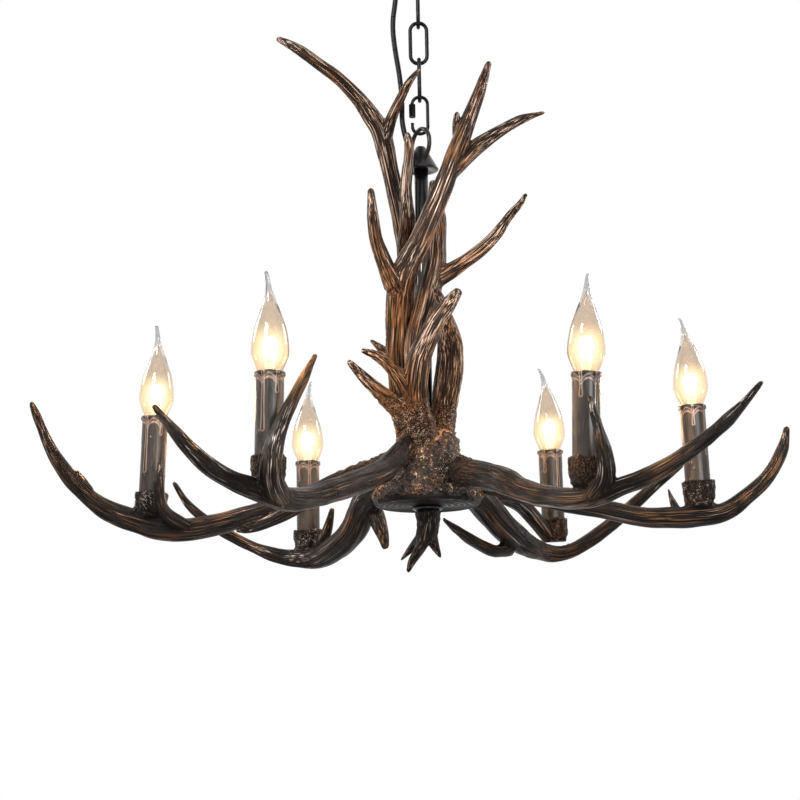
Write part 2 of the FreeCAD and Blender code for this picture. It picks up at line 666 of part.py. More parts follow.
def make_bulb(number, arm):
    """Screw base with glass stem and filament, and the hollow flame-tip glass round them."""
    tall = size("holder_length")
    across, wall = size("glass_diameter"), size("glass_wall")
    neck = tall + 1
    lift = size("glass_length") / 96
    base = lathe([(size("base_diameter") - 5, tall - size("base_length")),
                  (size("base_diameter"), tall - size("base_length") + 3),
                  (size("base_diameter"), tall), (size("base_diameter") + 1.6, tall + 0.4),
                  (size("base_diameter") + 1.6, neck)], 10)
    stem = lathe([(8, neck), (4, neck + 18), (1.2, neck + 26), (1.2, neck + 44)], 6)
    node(on_candle(fused([base, stem]), arm), f"bulb_base_{number}")
    bend = math.radians(arm["flame_turn"])
    profile = [(15.4, 0), (21.5, 10), (across - 2, 23), (across, 34), (29, 52), (17, 68), (8, 80),
               (3, 96)]
    sway = [0, 0, 0, 0, 0, 1, 3, 7.5]
    outer = []
    inner = []
    for (diameter, height), aside in zip(profile, sway):
        place = V(aside * math.cos(bend), aside * math.sin(bend), neck + 0.2 + height * lift)
        outer.append(section(place, V(0, 0, 1), V(1, 0, 0), diameter, 10))
        if diameter > 12:
            inner.append(section(place, V(0, 0, 1), V(1, 0, 0), diameter - 2 * wall, 10))
    node(on_candle(cut(loft(outer), loft(inner)), arm), f"bulb_glass_{number}")


# ---------------------------------------------------------------- upper antlers
# Points are (x, y, height above the underside of the base disc, diameter), as drawn for the
# nominal hub. They go up and down with the top of the hub.
nominal_hub_top = 75
crown = [
    {"beam": [(-27, -4, 72, 22), (-28, -11, 108, 23), (-28, -20, 145, 23), (-27, -27, 174, 24),
              (-25, -32, 201, 26), (-22, -38, 221, 28), (-14, -41, 241, 25), (-3, -42, 261, 22),
              (9, -42, 288, 21), (20, -42, 313, 20), (31, -42, 341, 20), (48, -42, 380, 19),
              (62, -40, 417, 15), (72, -36, 449, 6)],
     "tines": [[(-28, -42, 215, 22), (-35, -50, 235, 17), (-43, -54, 258, 14), (-47, -57, 281, 12),
                (-50, -57, 312, 5)],
               [(38, -41, 354, 12), (36, -38, 380, 9), (37, -36, 396, 5)],
               [(30, -42, 332, 14), (43, -38, 349, 15), (57, -33, 364, 13), (77, -27, 379, 11),
                (99, -21, 392, 9), (127, -15, 401, 4)]]},
    {"beam": [(-20, 20, 72, 22), (-18, 14, 113, 20), (-16, 12, 187, 18), (-17, 11, 261, 19),
              (-21, 10, 295, 19), (-31, 6, 344, 18), (-40, 1, 386, 20), (-50, -1, 404, 19),
              (-64, -3, 424, 15), (-83, -5, 444, 14), (-104, -7, 460, 12), (-124, -9, 475, 11),
              (-146, -10, 487, 5)],
     "tines": [[(-36, -1, 382, 15), (-29, -8, 400, 12), (-20, -16, 417, 10), (-11, -26, 431, 8),
                (1, -33, 444, 4)],
               [(-18, 7, 265, 15), (-18, -2, 275, 14), (-15, -12, 289, 16), (-16, -22, 320, 12),
                (-12, -28, 358, 11), (-14, -29, 378, 5)],
               [(-24, 13, 136, 14), (-36, 4, 153, 12), (-45, 0, 162, 9), (-55, -3, 170, 4)]]},
    {"beam": [(24, -9, 72, 29), (21, -9, 96, 28), (23, -11, 121, 29), (25, -14, 143, 27),
              (25, -19, 160, 25), (22, -28, 176, 20), (19, -36, 190, 14), (14, -42, 205, 10),
              (9, -44, 217, 4)],
     "tines": []},
    {"beam": [(-5, -27, 72, 33), (-11, -41, 90, 28), (-10, -51, 113, 25), (-7, -59, 135, 24),
              (1, -62, 154, 21), (11, -63, 173, 19), (23, -63, 190, 15), (35, -62, 205, 6)],
     "tines": [[(-20, -51, 110, 17), (-28, -58, 123, 15), (-39, -62, 134, 12), (-50, -65, 141, 9),
                (-63, -66, 146, 4)],
               [(-24, -36, 73, 25), (-34, -46, 90, 21), (-46, -52, 107, 16), (-60, -55, 124, 11),
                (-75, -57, 140, 4)],
               [(-10, -52, 123, 20), (-10, -47, 146, 21), (-7, -40, 168, 22), (-1, -32, 190, 23),
                (5, -22, 215, 24), (11, -17, 240, 24), (13, -15, 264, 23), (15, -14, 290, 20),
                (13, -14, 316, 15), (12, -13, 332, 8)],
               [(10, -18, 225, 18), (27, -20, 232, 17), (42, -22, 240, 14), (57, -22, 250, 13),
                (73, -20, 266, 12), (88, -18, 287, 10), (99, -17, 301, 7), (106, -16, 314, 4)]]},
]


def make_crown_antler(number, antler, hub):
    def placed(points):
        return [(x, y, hub_top_z - nominal_hub_top + height, diameter)
                for x, y, height, diameter in points]

    beam = horn(placed(antler["beam"]), 10, 1)
    tines = [horn(placed(tine), 7, 1) for tine in antler["tines"]]
    shape = fused([beam] + tines) if tines else beam
    node(cut(shape, hub), f"crown_antler_{number}")


# ---------------------------------------------------------------- assembly
make_bracket()
make_canopy_cup()
make_canopy_loop()
make_stem_nuts()
make_cord_gland()
make_terminal_block()
make_chain()
make_quick_link()
make_ring_and_cap()
make_cord_bush()
make_cord()
make_column()
hub_blank = make_hub()
make_arm_studs()
make_disc()
make_finial()
for arm_number, arm_shape in enumerate(arms, start=1):
    make_arm(arm_number, arm_shape, hub_blank)
    make_candle(arm_number, arm_shape)
    make_bulb(arm_number, arm_shape)
for crown_number, crown_shape in enumerate(crown, start=1):
    make_crown_antler(crown_number, crown_shape, hub_blank)
doc.recompute()

# ---------------------------------------------------------------- checks and export
for feature in doc.Objects:
    if "Invalid" in feature.State or "Error" in feature.State:
        raise RuntimeError(f"{feature.Name} ({feature.Label}) failed: {feature.State}")
os.makedirs("parts", exist_ok=True)
for feature in nodes:
    if feature.Shape.isNull() or not feature.Shape.isValid():
        raise RuntimeError(f"{feature.Label} has no valid shape")
    feature.Shape.exportStep(f"parts/{feature.Label}.step")
    print(feature.Label, len(feature.Shape.Solids), "solid(s)", round(feature.Shape.Volume), "mm3")
print(len(nodes), "nodes")
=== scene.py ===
import math

import bpy
import numpy as np
from mathutils import Matrix, Vector


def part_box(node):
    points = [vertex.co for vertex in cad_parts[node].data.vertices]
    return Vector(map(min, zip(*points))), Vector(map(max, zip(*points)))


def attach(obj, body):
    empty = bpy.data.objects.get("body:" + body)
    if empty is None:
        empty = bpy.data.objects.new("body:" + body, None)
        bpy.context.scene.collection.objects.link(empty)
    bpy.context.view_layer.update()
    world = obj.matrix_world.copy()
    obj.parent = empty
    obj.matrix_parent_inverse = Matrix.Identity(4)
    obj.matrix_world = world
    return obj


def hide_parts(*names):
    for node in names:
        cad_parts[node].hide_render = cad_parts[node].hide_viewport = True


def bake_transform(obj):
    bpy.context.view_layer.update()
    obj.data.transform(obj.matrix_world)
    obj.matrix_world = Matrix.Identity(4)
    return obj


# The antler chandelier hangs from the ceiling at z = 0. Shapes are worked out in millimetres, and
# newPiece turns them into metres.
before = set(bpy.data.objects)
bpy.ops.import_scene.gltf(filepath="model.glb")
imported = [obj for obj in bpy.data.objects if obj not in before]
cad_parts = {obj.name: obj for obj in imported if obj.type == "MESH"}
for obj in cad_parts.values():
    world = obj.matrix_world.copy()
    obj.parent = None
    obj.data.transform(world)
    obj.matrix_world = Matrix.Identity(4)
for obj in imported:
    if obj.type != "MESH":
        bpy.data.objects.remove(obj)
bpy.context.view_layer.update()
mm = 0.001
fullTurn = 2 * math.pi

# ---- camera, light and room
view = {
    "lens": 96.75,
    "sensor": 36,
    "distance": 2150,         # from the column
    "upTilt": 10.67,          # degrees, looking up at the antlers
    "roll": 1.0,              # degrees, the column leans a little to the left
    "aside": 25.6,            # the camera stands this far left of the column
    "aimHeight": -517,
}
lamps = {
    "key": {"at": (-850, -1600, 650), "size": 560, "watts": 50, "colour": (1.0, 0.98, 0.96)},
    "fill": {"at": (1100, -1700, -300), "size": 600, "watts": 22, "colour": (0.96, 0.98, 1.0)},
    "rimLeft": {"at": (-1500, 700, 300), "size": 500, "watts": 9, "colour": (1.0, 0.97, 0.92)},
    "rimRight": {"at": (1500, 700, 300), "size": 500, "watts": 9, "colour": (0.95, 0.97, 1.0)},
    "under": {"at": (0, -900, -1900), "size": 700, "watts": 4, "colour": (1.0, 0.98, 0.95)},
}
room = {
    "level": 0.07,
    "tint": (0.97, 0.98, 1.0, 1),
    "floorHeight": -2600,
    "floorHalf": 6000,
    "floorColour": (0.9, 0.9, 0.9),
    "floorRough": 0.8,
    "floorWhite": 0.65,       # the rest of the floor's look is its own, so that it keeps the shadow
}


def newObject(name, data):
    item = bpy.data.objects.new(name, data)
    bpy.context.scene.collection.objects.link(item)
    return item


def addCamera():
    data = bpy.data.cameras.new("camera")
    data.lens = view["lens"]
    data.sensor_width = view["sensor"]
    camera = newObject("camera", data)
    tilt = math.radians(view["upTilt"])
    place = Vector((-view["aside"], -view["distance"] * math.cos(tilt),
                    view["aimHeight"] - view["distance"] * math.sin(tilt))) * mm
    camera.matrix_world = (Matrix.Translation(place) @ Matrix.Rotation(math.pi / 2 + tilt, 4, "X")
                           @ Matrix.Rotation(-math.radians(view["roll"]), 4, "Z"))
    bpy.context.scene.camera = camera


def newLight(name, kind, watts, colour, place):
    data = bpy.data.lights.new(name, kind)
    data.energy = watts
    data.color = colour
    light = newObject(name, data)
    light.location = place * mm
    return light


def addLamps():
    aim = Vector((0, 0, view["aimHeight"])) * mm
    for name, lamp in lamps.items():
        light = newLight(name, "AREA", lamp["watts"], lamp["colour"], Vector(lamp["at"]))
        light.data.shape = "DISK"
        light.data.size = lamp["size"] * mm
        light.rotation_euler = (aim - light.location).to_track_quat("-Z", "Y").to_euler()


# seen directly, in gloss and through glass this surface is white, and it lights the object as it is
def whiteToTheEye(tree, surface, output, share=1.0):
    paths = tree.nodes.new("ShaderNodeLightPath").outputs
    seen = paths["Is Camera Ray"]
    for ray in ("Is Glossy Ray", "Is Transmission Ray"):
        seen = maths(tree, "MAXIMUM", seen, paths[ray])
    white = tree.nodes.new("ShaderNodeEmission")
    white.inputs["Color"].default_value = (1, 1, 1, 1)
    mixShaders(tree, times(tree, seen, share), surface, white.outputs[0], output)


def addRoom():
    world = bpy.data.worlds.new("studio")
    bpy.context.scene.world = world
    world.use_nodes = True
    tree = world.node_tree
    tree.nodes.clear()
    level = tree.nodes.new("ShaderNodeBackground")
    level.inputs["Color"].default_value = room["tint"]
    level.inputs["Strength"].default_value = room["level"]
    output = tree.nodes.new("ShaderNodeOutputWorld")
    whiteToTheEye(tree, level.outputs[0], output.inputs["Surface"])
    tree, principled = newMaterial("paleFloor", room["floorColour"], room["floorRough"])
    whiteToTheEye(tree, principled.outputs[0], surfaceOf(tree), room["floorWhite"])
    half, height = room["floorHalf"], room["floorHeight"]
    corners = [(x * half, y * half, height) for x, y in ((-1, -1), (1, -1), (1, 1), (-1, 1))]
    newPiece("floor", (corners, [(0, 1, 2, 3)]), "paleFloor")


# ---- mesh helpers, all in millimetres; a shape is its points and its faces
def newPiece(name, shape, finish=None, body=None, node=None, smooth=True):
    mesh = bpy.data.meshes.new(name)
    mesh.from_pydata((np.asarray(shape[0], float) * mm).tolist(), [], shape[1])
    mesh.validate()
    mesh.update()
    if smooth:
        mesh.shade_smooth()
    return settled(newObject(name, mesh), finish, body, node)


# paints a piece, lets it ride a body, and hides the CAD node it stands for
def settled(piece, finish, body, node):
    if finish:
        piece.data.materials.append(finishes[finish])
    if body:
        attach(piece, body)
    if node:
        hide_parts(node)
    return piece


# lowest and highest point of a CAD piece, and how far it reaches to the right
def extent(node):
    low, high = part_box(node)
    return low.z / mm, high.z / mm, high.x / mm


# Catmull-Rom curve through the rows, with steps pieces in each span
def curved(rows, steps):
    rows = np.asarray(rows, float)
    ends = np.vstack([2 * rows[0] - rows[1], rows, 2 * rows[-1] - rows[-2]])
    parts = []
    t = np.arange(steps)[:, None] / steps
    for a, b, c, d in zip(ends, ends[1:], ends[2:], ends[3:]):
        parts.append(b + t * (c - a) / 2 + t ** 2 * (a - 2.5 * b + 2 * c - d / 2)
                     + t ** 3 * (1.5 * (b - c) + (d - a) / 2))
    return np.vstack(parts + [rows[-1:]])


def runAlong(path):
    return np.concatenate([[0], np.cumsum(np.linalg.norm(np.diff(path, axis=0), axis=1))])


# directions along, across and up at each point of a path, turning as little as possible
def pathFrames(path, closed=False):
    ahead = np.roll(path, -1, 0) - np.roll(path, 1, 0)
    if not closed:
        ahead[0] = path[1] - path[0]
        ahead[-1] = path[-1] - path[-2]
    along = ahead / np.linalg.norm(ahead, axis=1, keepdims=True)
    start = np.array([0.0, 1, 0]) if abs(along[0][1]) < 0.8 else np.array([1.0, 0, 0])
    across = np.zeros_like(path)
    for k in range(len(path)):
        start = start - along[k] * start.dot(along[k])
        start /= np.linalg.norm(start)
        across[k] = start
    return along, across, np.cross(along, across)


def circle(sides):
    return np.arange(sides) * fullTurn / sides


# a circle of radius 1 across each point of a path
def circlesAlong(path, sides, closed=False):
    along, across, up = pathFrames(path, closed)
    turn = circle(sides)[None, :, None]
    return across[:, None] * np.cos(turn) + up[:, None] * np.sin(turn)


# faces between rings of points; both ends are closed, or else the last ring meets the first
def gridFaces(rings, sides, closed=False):
    faces = []
    for r in range(rings if closed else rings - 1):
        low, high = r * sides, (r + 1) % rings * sides
        for s in range(sides):
            t = (s + 1) % sides
            faces.append((low + s, low + t, high + t, high + s))
    if not closed:
        faces.append(tuple(range(sides))[::-1])
        faces.append(tuple(range((rings - 1) * sides, rings * sides)))
    return faces


# round bar along a path; radius is a number or one value per point
def tube(path, radius, sides=20, closed=False):
    path = np.asarray(path, float)
    radius = np.broadcast_to(np.asarray(radius, float), (len(path),))
    points = path[:, None] + circlesAlong(path, sides, closed) * radius[:, None, None]
    return points.reshape(-1, 3), gridFaces(len(path), sides, closed)


# turned shape about an upright axis through stations (radius, height)
def turned(profile, sides, at=(0, 0), loop=True):
    profile = np.asarray(profile, float)
    radius, height = profile[:, 0, None], profile[:, 1, None]
    turn = circle(sides)
    points = np.stack([radius * np.cos(turn) + at[0], radius * np.sin(turn) + at[1],
                       np.broadcast_to(height, (len(profile), sides))], -1).reshape(-1, 3)
    faces = gridFaces(len(profile), sides, loop)
    return points, [face[::-1] for face in faces] if height[0] > height[-1] else faces


def joined(*shapes):
    points, faces, count = [], [], 0
    for shapePoints, shapeFaces in shapes:
        points.append(np.asarray(shapePoints, float))
        faces += [tuple(count + corner for corner in face) for face in shapeFaces]
        count += len(shapePoints)
    return np.vstack(points), faces


# angle and reach of each point about the upright axis
def polar(points):
    return np.arctan2(points[:, 1], points[:, 0]), np.hypot(points[:, 0], points[:, 1])


# moves points out from the upright axis, or in where out is below zero
def spread(points, out):
    points[:, :2] *= (1 + out / polar(points)[1])[:, None]


def softStep(values, low, high):
    part = np.clip((values - low) / (high - low), 0, 1)
    return part * part * (3 - 2 * part)


# smooth random values from -1 to 1 at each point, the same on every run
noiseKeys = {"axes": (73856093, 19349663, 83492791), "seed": 2654435761, "stir": 1274126177}


def softNoise(points, seed):
    cell = np.floor(points).astype(np.int64)
    part = points - cell
    part = part * part * (3 - 2 * part)
    total = np.zeros(len(points))
    for corner in range(8):
        step = np.array([corner & 1, corner >> 1 & 1, corner >> 2 & 1])
        key = (cell + step) @ np.array(noiseKeys["axes"]) + seed * noiseKeys["seed"]
        key = (key ^ (key >> 13)) * noiseKeys["stir"] & 0x7fffffff
        value = ((key ^ (key >> 16)) & 0xffff) / 32767.5 - 1
        total += value * np.prod(np.where(step == 1, part, 1 - part), axis=1)
    return total


# several noises added up; a layer is (share, spacing, seed)
def noises(points, *layers):
    return sum(share * softNoise(points / spacing, seed) for share, spacing, seed in layers)


def storeValues(piece, name, values):
    values = np.asarray(values, np.float32)
    kind, key = ("FLOAT", "value") if values.ndim == 1 else ("FLOAT_VECTOR", "vector")
    piece.data.attributes.new(name, kind, "POINT").data.foreach_set(key, values.ravel())


# what the painted materials read: how far a place stands out, and where its streaks run
def storePaint(piece, ridge, grain):
    storeValues(piece, "ridge", np.clip(ridge, 0, 1))
    storeValues(piece, "grain", grain * mm)


def meshValues(items, key):
    values = np.zeros(len(items) * 3, np.float32)
    items.foreach_get(key, values)
    return values.reshape(-1, 3).astype(float)


def skinOf(piece):
    mesh = piece.data
    return meshValues(mesh.vertices, "co") / mm, meshValues(mesh.vertex_normals, "vector")


def setPoints(mesh, points):
    mesh.vertices.foreach_set("co", (points * mm).astype(np.float32).ravel())
    mesh.update()


def finalMesh(item):
    graph = bpy.context.evaluated_depsgraph_get()
    return bpy.data.meshes.new_from_object(item.evaluated_get(graph))


# melts overlapping closed shapes into one skin of small even faces
def melted(name, shapes, grain, smoothing):
    piece = newPiece(name, joined(*shapes))
    remesh = piece.modifiers.new("melt", "REMESH")
    remesh.mode = "VOXEL"
    remesh.voxel_size = grain * mm
    soften = piece.modifiers.new("soften", "SMOOTH")
    soften.factor = 0.5
    soften.iterations = smoothing
    old, piece.data = piece.data, finalMesh(piece)
    piece.modifiers.clear()
    bpy.data.meshes.remove(old)
    piece.data.name = name
    piece.data.shade_smooth()
    return piece


# ---- cord beside the chain: one route, cut into six lengths of equal run
cord = {
    "diameter": 5.5,
    "sides": 32,
    "rings": 40,              # in each length
    "ribs": 10,
    "ribDepth": 0.16,
    "route": [(-22, 0, -42), (-21, 0, -70), (-23, 0, -96), (-27, 0, -122), (-24.5, 0, -150),
              (-20, 0, -178), (-18, -1, -206), (-19, -4.5, -234), (-12, -6, -257)],
}
hanging = ["ceiling_fitting", "chain_link_1", "chain_link_2", "chain_link_3", "chain_link_4",
           "quick_link", "fixture"]


def routeLine(points):
    data = bpy.data.curves.new("route", "CURVE")
    data.dimensions = "3D"
    data.resolution_u = 14
    spline = data.splines.new("NURBS")
    spline.points.add(len(points) - 1)
    for point, place in zip(spline.points, points):
        point.co = (*(Vector(place) * mm), 1)
    spline.order_u = 3
    spline.use_endpoint_u = True
    carrier = newObject("route", data)
    bpy.context.view_layer.update()
    mesh = finalMesh(carrier)
    line = meshValues(mesh.vertices, "co") / mm
    bpy.data.objects.remove(carrier)
    bpy.data.curves.remove(data)
    bpy.data.meshes.remove(mesh)
    return line


def addCord():
    line = routeLine(cord["route"])
    run = runAlong(line)
    rings, sides = cord["rings"], cord["sides"]
    even = np.linspace(0, run[-1], (len(hanging) - 1) * rings + 1)
    line = np.stack([np.interp(even, run, part) for part in line.T], 1)
    wave = 0.5 - 0.5 * np.cos(circle(sides) * cord["ribs"])
    radius = cord["diameter"] / 2 - cord["ribDepth"] * wave
    skin = line[:, None] + circlesAlong(line, sides) * radius[None, :, None]
    for part, (upper, lower) in enumerate(zip(hanging, hanging[1:])):
        span = slice(part * rings, (part + 1) * rings + 1)
        shape = skin[span].reshape(-1, 3), gridFaces(rings + 1, sides)
        piece = newPiece(f"cordLength{part + 1}", shape, "cordJacket")
        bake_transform(piece)
        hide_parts("power_cord")


# ---- node helpers
def feed(tree, socket, value):
    if isinstance(value, (int, float)):
        socket.default_value = value
    elif isinstance(value, tuple):
        socket.default_value = (*value, 1)
    else:
        tree.links.new(value, socket)


def maths(tree, operation, first, second, clamp=False):
    node = tree.nodes.new("ShaderNodeMath")
    node.operation = operation
    node.use_clamp = clamp
    feed(tree, node.inputs[0], first)
    feed(tree, node.inputs[1], second)
    return node.outputs[0]


def plus(tree, first, second, clamp=False):
    return maths(tree, "ADD", first, second, clamp)


def minus(tree, first, second):
    return maths(tree, "SUBTRACT", first, second)


def times(tree, first, second, clamp=False):
    return maths(tree, "MULTIPLY", first, second, clamp)


def noiseNode(tree, place, scale, detail, rough):
    node = tree.nodes.new("ShaderNodeTexNoise")
    feed(tree, node.inputs["Vector"], place)
    feed(tree, node.inputs["Scale"], scale)
    node.inputs["Detail"].default_value = detail
    node.inputs["Roughness"].default_value = rough
    return node.outputs["Fac"]


def stretch(tree, value, low, high):
    node = tree.nodes.new("ShaderNodeMapRange")
    node.interpolation_type = "SMOOTHSTEP"
    node.inputs["From Min"].default_value = low
    node.inputs["From Max"].default_value = high
    tree.links.new(value, node.inputs["Value"])
    return node.outputs["Result"]


def mixColours(tree, amount, first, second):
    node = tree.nodes.new("ShaderNodeMix")
    node.data_type = "RGBA"
    # the colour sockets of this node are its inputs 6 and 7 and its output 2
    for index, value in ((0, amount), (6, first), (7, second)):
        feed(tree, node.inputs[index], value)
    return node.outputs[2]


def mixShaders(tree, amount, first, second, output):
    mix = tree.nodes.new("ShaderNodeMixShader")
    for socket, value in zip(mix.inputs, (amount, first, second)):
        tree.links.new(value, socket)
    tree.links.new(mix.outputs[0], output)


def surfaceOf(tree):
    return tree.nodes["Material Output"].inputs["Surface"]


def objectPlace(tree):
    return tree.nodes.new("ShaderNodeTexCoord").outputs["Object"]


def meshValue(tree, name, output="Fac"):
    node = tree.nodes.new("ShaderNodeAttribute")
    node.attribute_name = name
    return node.outputs[output]


finishes = {}


def newMaterial(name, colour, roughness, **sockets):
    material = finishes[name] = bpy.data.materials.new(name)
    material.use_nodes = True
    tree = material.node_tree
    principled = tree.nodes["Principled BSDF"]
    principled.inputs["Base Color"].default_value = (*colour, 1)
    principled.inputs["Roughness"].default_value = roughness
    for socketName, value in sockets.items():
        principled.inputs[socketName.replace("_", " ")].default_value = value
    material.diffuse_color = (*colour, 1)
    return tree, principled


def addBump(tree, principled, height, strength, distance):
    bump = tree.nodes.new("ShaderNodeBump")
    bump.inputs["Strength"].default_value = strength
    bump.inputs["Distance"].default_value = distance * mm
    tree.links.new(height, bump.inputs["Height"])
    tree.links.new(bump.outputs["Normal"], principled.inputs["Normal"])


# ---- shader groups shared by the materials
def addGroup(name, inputs, build):
    group = bpy.data.node_groups.new(name, "ShaderNodeTree")
    for socketName in inputs:
        kind = "NodeSocketVector" if socketName == "Grain" else "NodeSocketFloat"
        group.interface.new_socket(socketName, in_out="INPUT", socket_type=kind)
    results = build(group, group.nodes.new("NodeGroupInput").outputs)
    for socketName in results:
        group.interface.new_socket(socketName, in_out="OUTPUT", socket_type="NodeSocketFloat")
    leave = group.nodes.new("NodeGroupOutput")
    for socketName, value in results.items():
        group.links.new(value, leave.inputs[socketName])


def useGroup(tree, name, values):
    node = tree.nodes.new("ShaderNodeGroup")
    node.node_tree = bpy.data.node_groups[name]
    for socketName, value in values.items():
        feed(tree, node.inputs[socketName], value)
    return node.outputs


brush = {
    "inputs": ("Ridge", "Grain", "Streaks", "Bronze Cover", "Silver Cover", "Rough", "Ridge Share"),
    "hairs": 2.0,             # finer than the streaks by this much
    "streakEdge": (0.34, 0.66),
    "streakShare": 0.6,
    "hairShare": 0.4,
    "clouds": 16.0,           # patches with more bronze and less silver
    "patchiness": 1.1,
    "cloudRough": 0.2,
    "bronzeEdge": (-0.06, 0.22),
    "silverEdge": (-0.02, 0.18),
    "depthEdge": (0.25, 0.65),
}


# paint dragged over raised places: bronze on the broad ridges, silver on the sharpest ones
def dryBrush(tree, given):
    streaks, share = given["Streaks"], given["Ridge Share"]
    streak = noiseNode(tree, given["Grain"], streaks, 3.0, 0.55)
    hair = noiseNode(tree, given["Grain"], times(tree, streaks, brush["hairs"]), 1.0, 0.5)
    cloud = noiseNode(tree, objectPlace(tree), brush["clouds"], 2.0, 0.5)
    lines = plus(tree,
                 times(tree, stretch(tree, streak, *brush["streakEdge"]), brush["streakShare"]),
                 times(tree, stretch(tree, hair, *brush["streakEdge"]), brush["hairShare"]))
    raised = plus(tree, times(tree, given["Ridge"], share),
                  times(tree, lines, minus(tree, 1.0, share)))
    patch = times(tree, minus(tree, cloud, 0.5), brush["patchiness"])
    bronze = plus(tree, plus(tree, raised, patch), minus(tree, given["Bronze Cover"], 1.0))
    silver = plus(tree, minus(tree, raised, times(tree, patch, 0.5)),
                  minus(tree, given["Silver Cover"], 1.0))
    rough = plus(tree, times(tree, cloud, brush["cloudRough"]), given["Rough"], True)
    return {"Bronze": stretch(tree, bronze, *brush["bronzeEdge"]),
            "Silver": stretch(tree, silver, *brush["silverEdge"]),
            "Depth": stretch(tree, raised, *brush["depthEdge"]), "Height": lines, "Rough": rough}


# the slight waviness of sprayed or cast metal, with a few dull specks
cast = {"inputs": ("Size", "Rough"), "waveRough": 0.22, "specks": 1500.0, "speckEdge": (0.6, 0.72)}


def castSkin(tree, given):
    place = objectPlace(tree)
    wave = noiseNode(tree, place, given["Size"], 3.0, 0.5)
    specks = noiseNode(tree, place, cast["specks"], 2.0, 0.5)
    rough = plus(tree, times(tree, wave, cast["waveRough"]), given["Rough"], True)
    return {"Height": wave, "Rough": rough, "Speck": stretch(tree, specks, *cast["speckEdge"])}


# ---- materials
# moulded resin and wood painted near black, with bronze and silver dragged over the ridges
paints = {
    "armResin": {
        "dark": (0.0022, 0.0018, 0.0016), "brown": (0.018, 0.011, 0.008),
        "bronze": (0.145, 0.072, 0.034), "silver": (0.46, 0.40, 0.36), "bump": 0.9,
        "gloss": 0.11, "brush": {"Streaks": 640, "Bronze Cover": 0.33, "Silver Cover": 0.19,
                                "Rough": 0.2, "Ridge Share": 0.3}},
    "crownResin": {
        "dark": (0.006, 0.0042, 0.0034), "brown": (0.045, 0.024, 0.015),
        "bronze": (0.20, 0.092, 0.038), "silver": (0.52, 0.40, 0.32), "bump": 0.9,
        "gloss": 0.11, "brush": {"Streaks": 720, "Bronze Cover": 0.42, "Silver Cover": 0.34,
                                "Rough": 0.2, "Ridge Share": 0.3}},
    "burrResin": {
        "dark": (0.004, 0.0028, 0.002), "brown": (0.045, 0.024, 0.013),
        "bronze": (0.34, 0.16, 0.062), "silver": (0.58, 0.44, 0.32), "bump": 1.2,
        "gloss": 0.36, "brush": {"Streaks": 340, "Bronze Cover": 0.42, "Silver Cover": 0.16,
                                "Rough": 0.14, "Ridge Share": 0.45}},
    "candleResin": {
        "dark": (0.012, 0.008, 0.006), "brown": (0.13, 0.085, 0.064),
        "bronze": (0.26, 0.18, 0.13), "silver": (0.50, 0.42, 0.37), "bump": 0.1,
        "gloss": 0.4, "brush": {"Streaks": 300, "Bronze Cover": 0.36, "Silver Cover": 0.16,
                                "Rough": 0.27, "Ridge Share": 0.85}},
    "stainedWood": {
        "dark": (0.002, 0.0017, 0.0015), "brown": (0.014, 0.009, 0.007),
        "bronze": (0.07, 0.045, 0.032), "silver": (0.30, 0.28, 0.27), "bump": 0.8,
        "gloss": 0.12, "brush": {"Streaks": 500, "Bronze Cover": 0.30, "Silver Cover": 0.26,
                                "Rough": 0.34, "Ridge Share": 0.85}},
}
paintBump, bronzeMetal = 0.9, 0.35


def paintedResin(name, paint):
    tree, principled = newMaterial(name, paint["brown"], paint["brush"]["Rough"],
                                   Specular_IOR_Level=paint["gloss"])
    dragged = useGroup(tree, "dryBrush", {**paint["brush"], "Ridge": meshValue(tree, "ridge"),
                                          "Grain": meshValue(tree, "grain", "Vector")})
    colour = mixColours(tree, dragged["Depth"], paint["dark"], paint["brown"])
    for metal in ("Bronze", "Silver"):
        colour = mixColours(tree, dragged[metal], colour, paint[metal.lower()])
    tree.links.new(colour, principled.inputs["Base Color"])
    tree.links.new(dragged["Rough"], principled.inputs["Roughness"])
    tree.links.new(times(tree, dragged["Bronze"], bronzeMetal), principled.inputs["Metallic"])
    addBump(tree, principled, dragged["Height"], paintBump, paint["bump"])


# sprayed, cast and moulded surfaces; size is that of their waviness
plain = {
    "glossBlack": {"colour": (0.010, 0.010, 0.012), "rough": 0.12, "size": 180, "bump": 0.25,
                   "coat": 0.2, "gloss": 0.2},
    "chainBlack": {"colour": (0.004, 0.004, 0.005), "rough": 0.24, "size": 500, "bump": 0.1,
                   "gloss": 0.12},
    "ringSteel": {"colour": (0.02, 0.015, 0.013), "rough": 0.2, "size": 500, "bump": 0.1,
                  "metallic": 0.3, "gloss": 0.3},
    "zincSteel": {"colour": (0.55, 0.55, 0.56), "rough": 0.25, "size": 700, "bump": 0.08,
                  "metallic": 1.0},
    "cordJacket": {"colour": (0.004, 0.004, 0.005), "rough": 0.3, "size": 1400, "bump": 0.12,
                   "gloss": 0.12},
    "blackPlastic": {"colour": (0.014, 0.014, 0.015), "rough": 0.2, "size": 900, "bump": 0.06},
    "heatPlastic": {"colour": (0.72, 0.70, 0.64), "rough": 0.35, "size": 900, "bump": 0.08},
    "capBrass": {"colour": (0.72, 0.60, 0.36), "rough": 0.18, "size": 900, "bump": 0.05,
                 "metallic": 1.0},
}
plainBump, coatRough = 0.35, 0.12


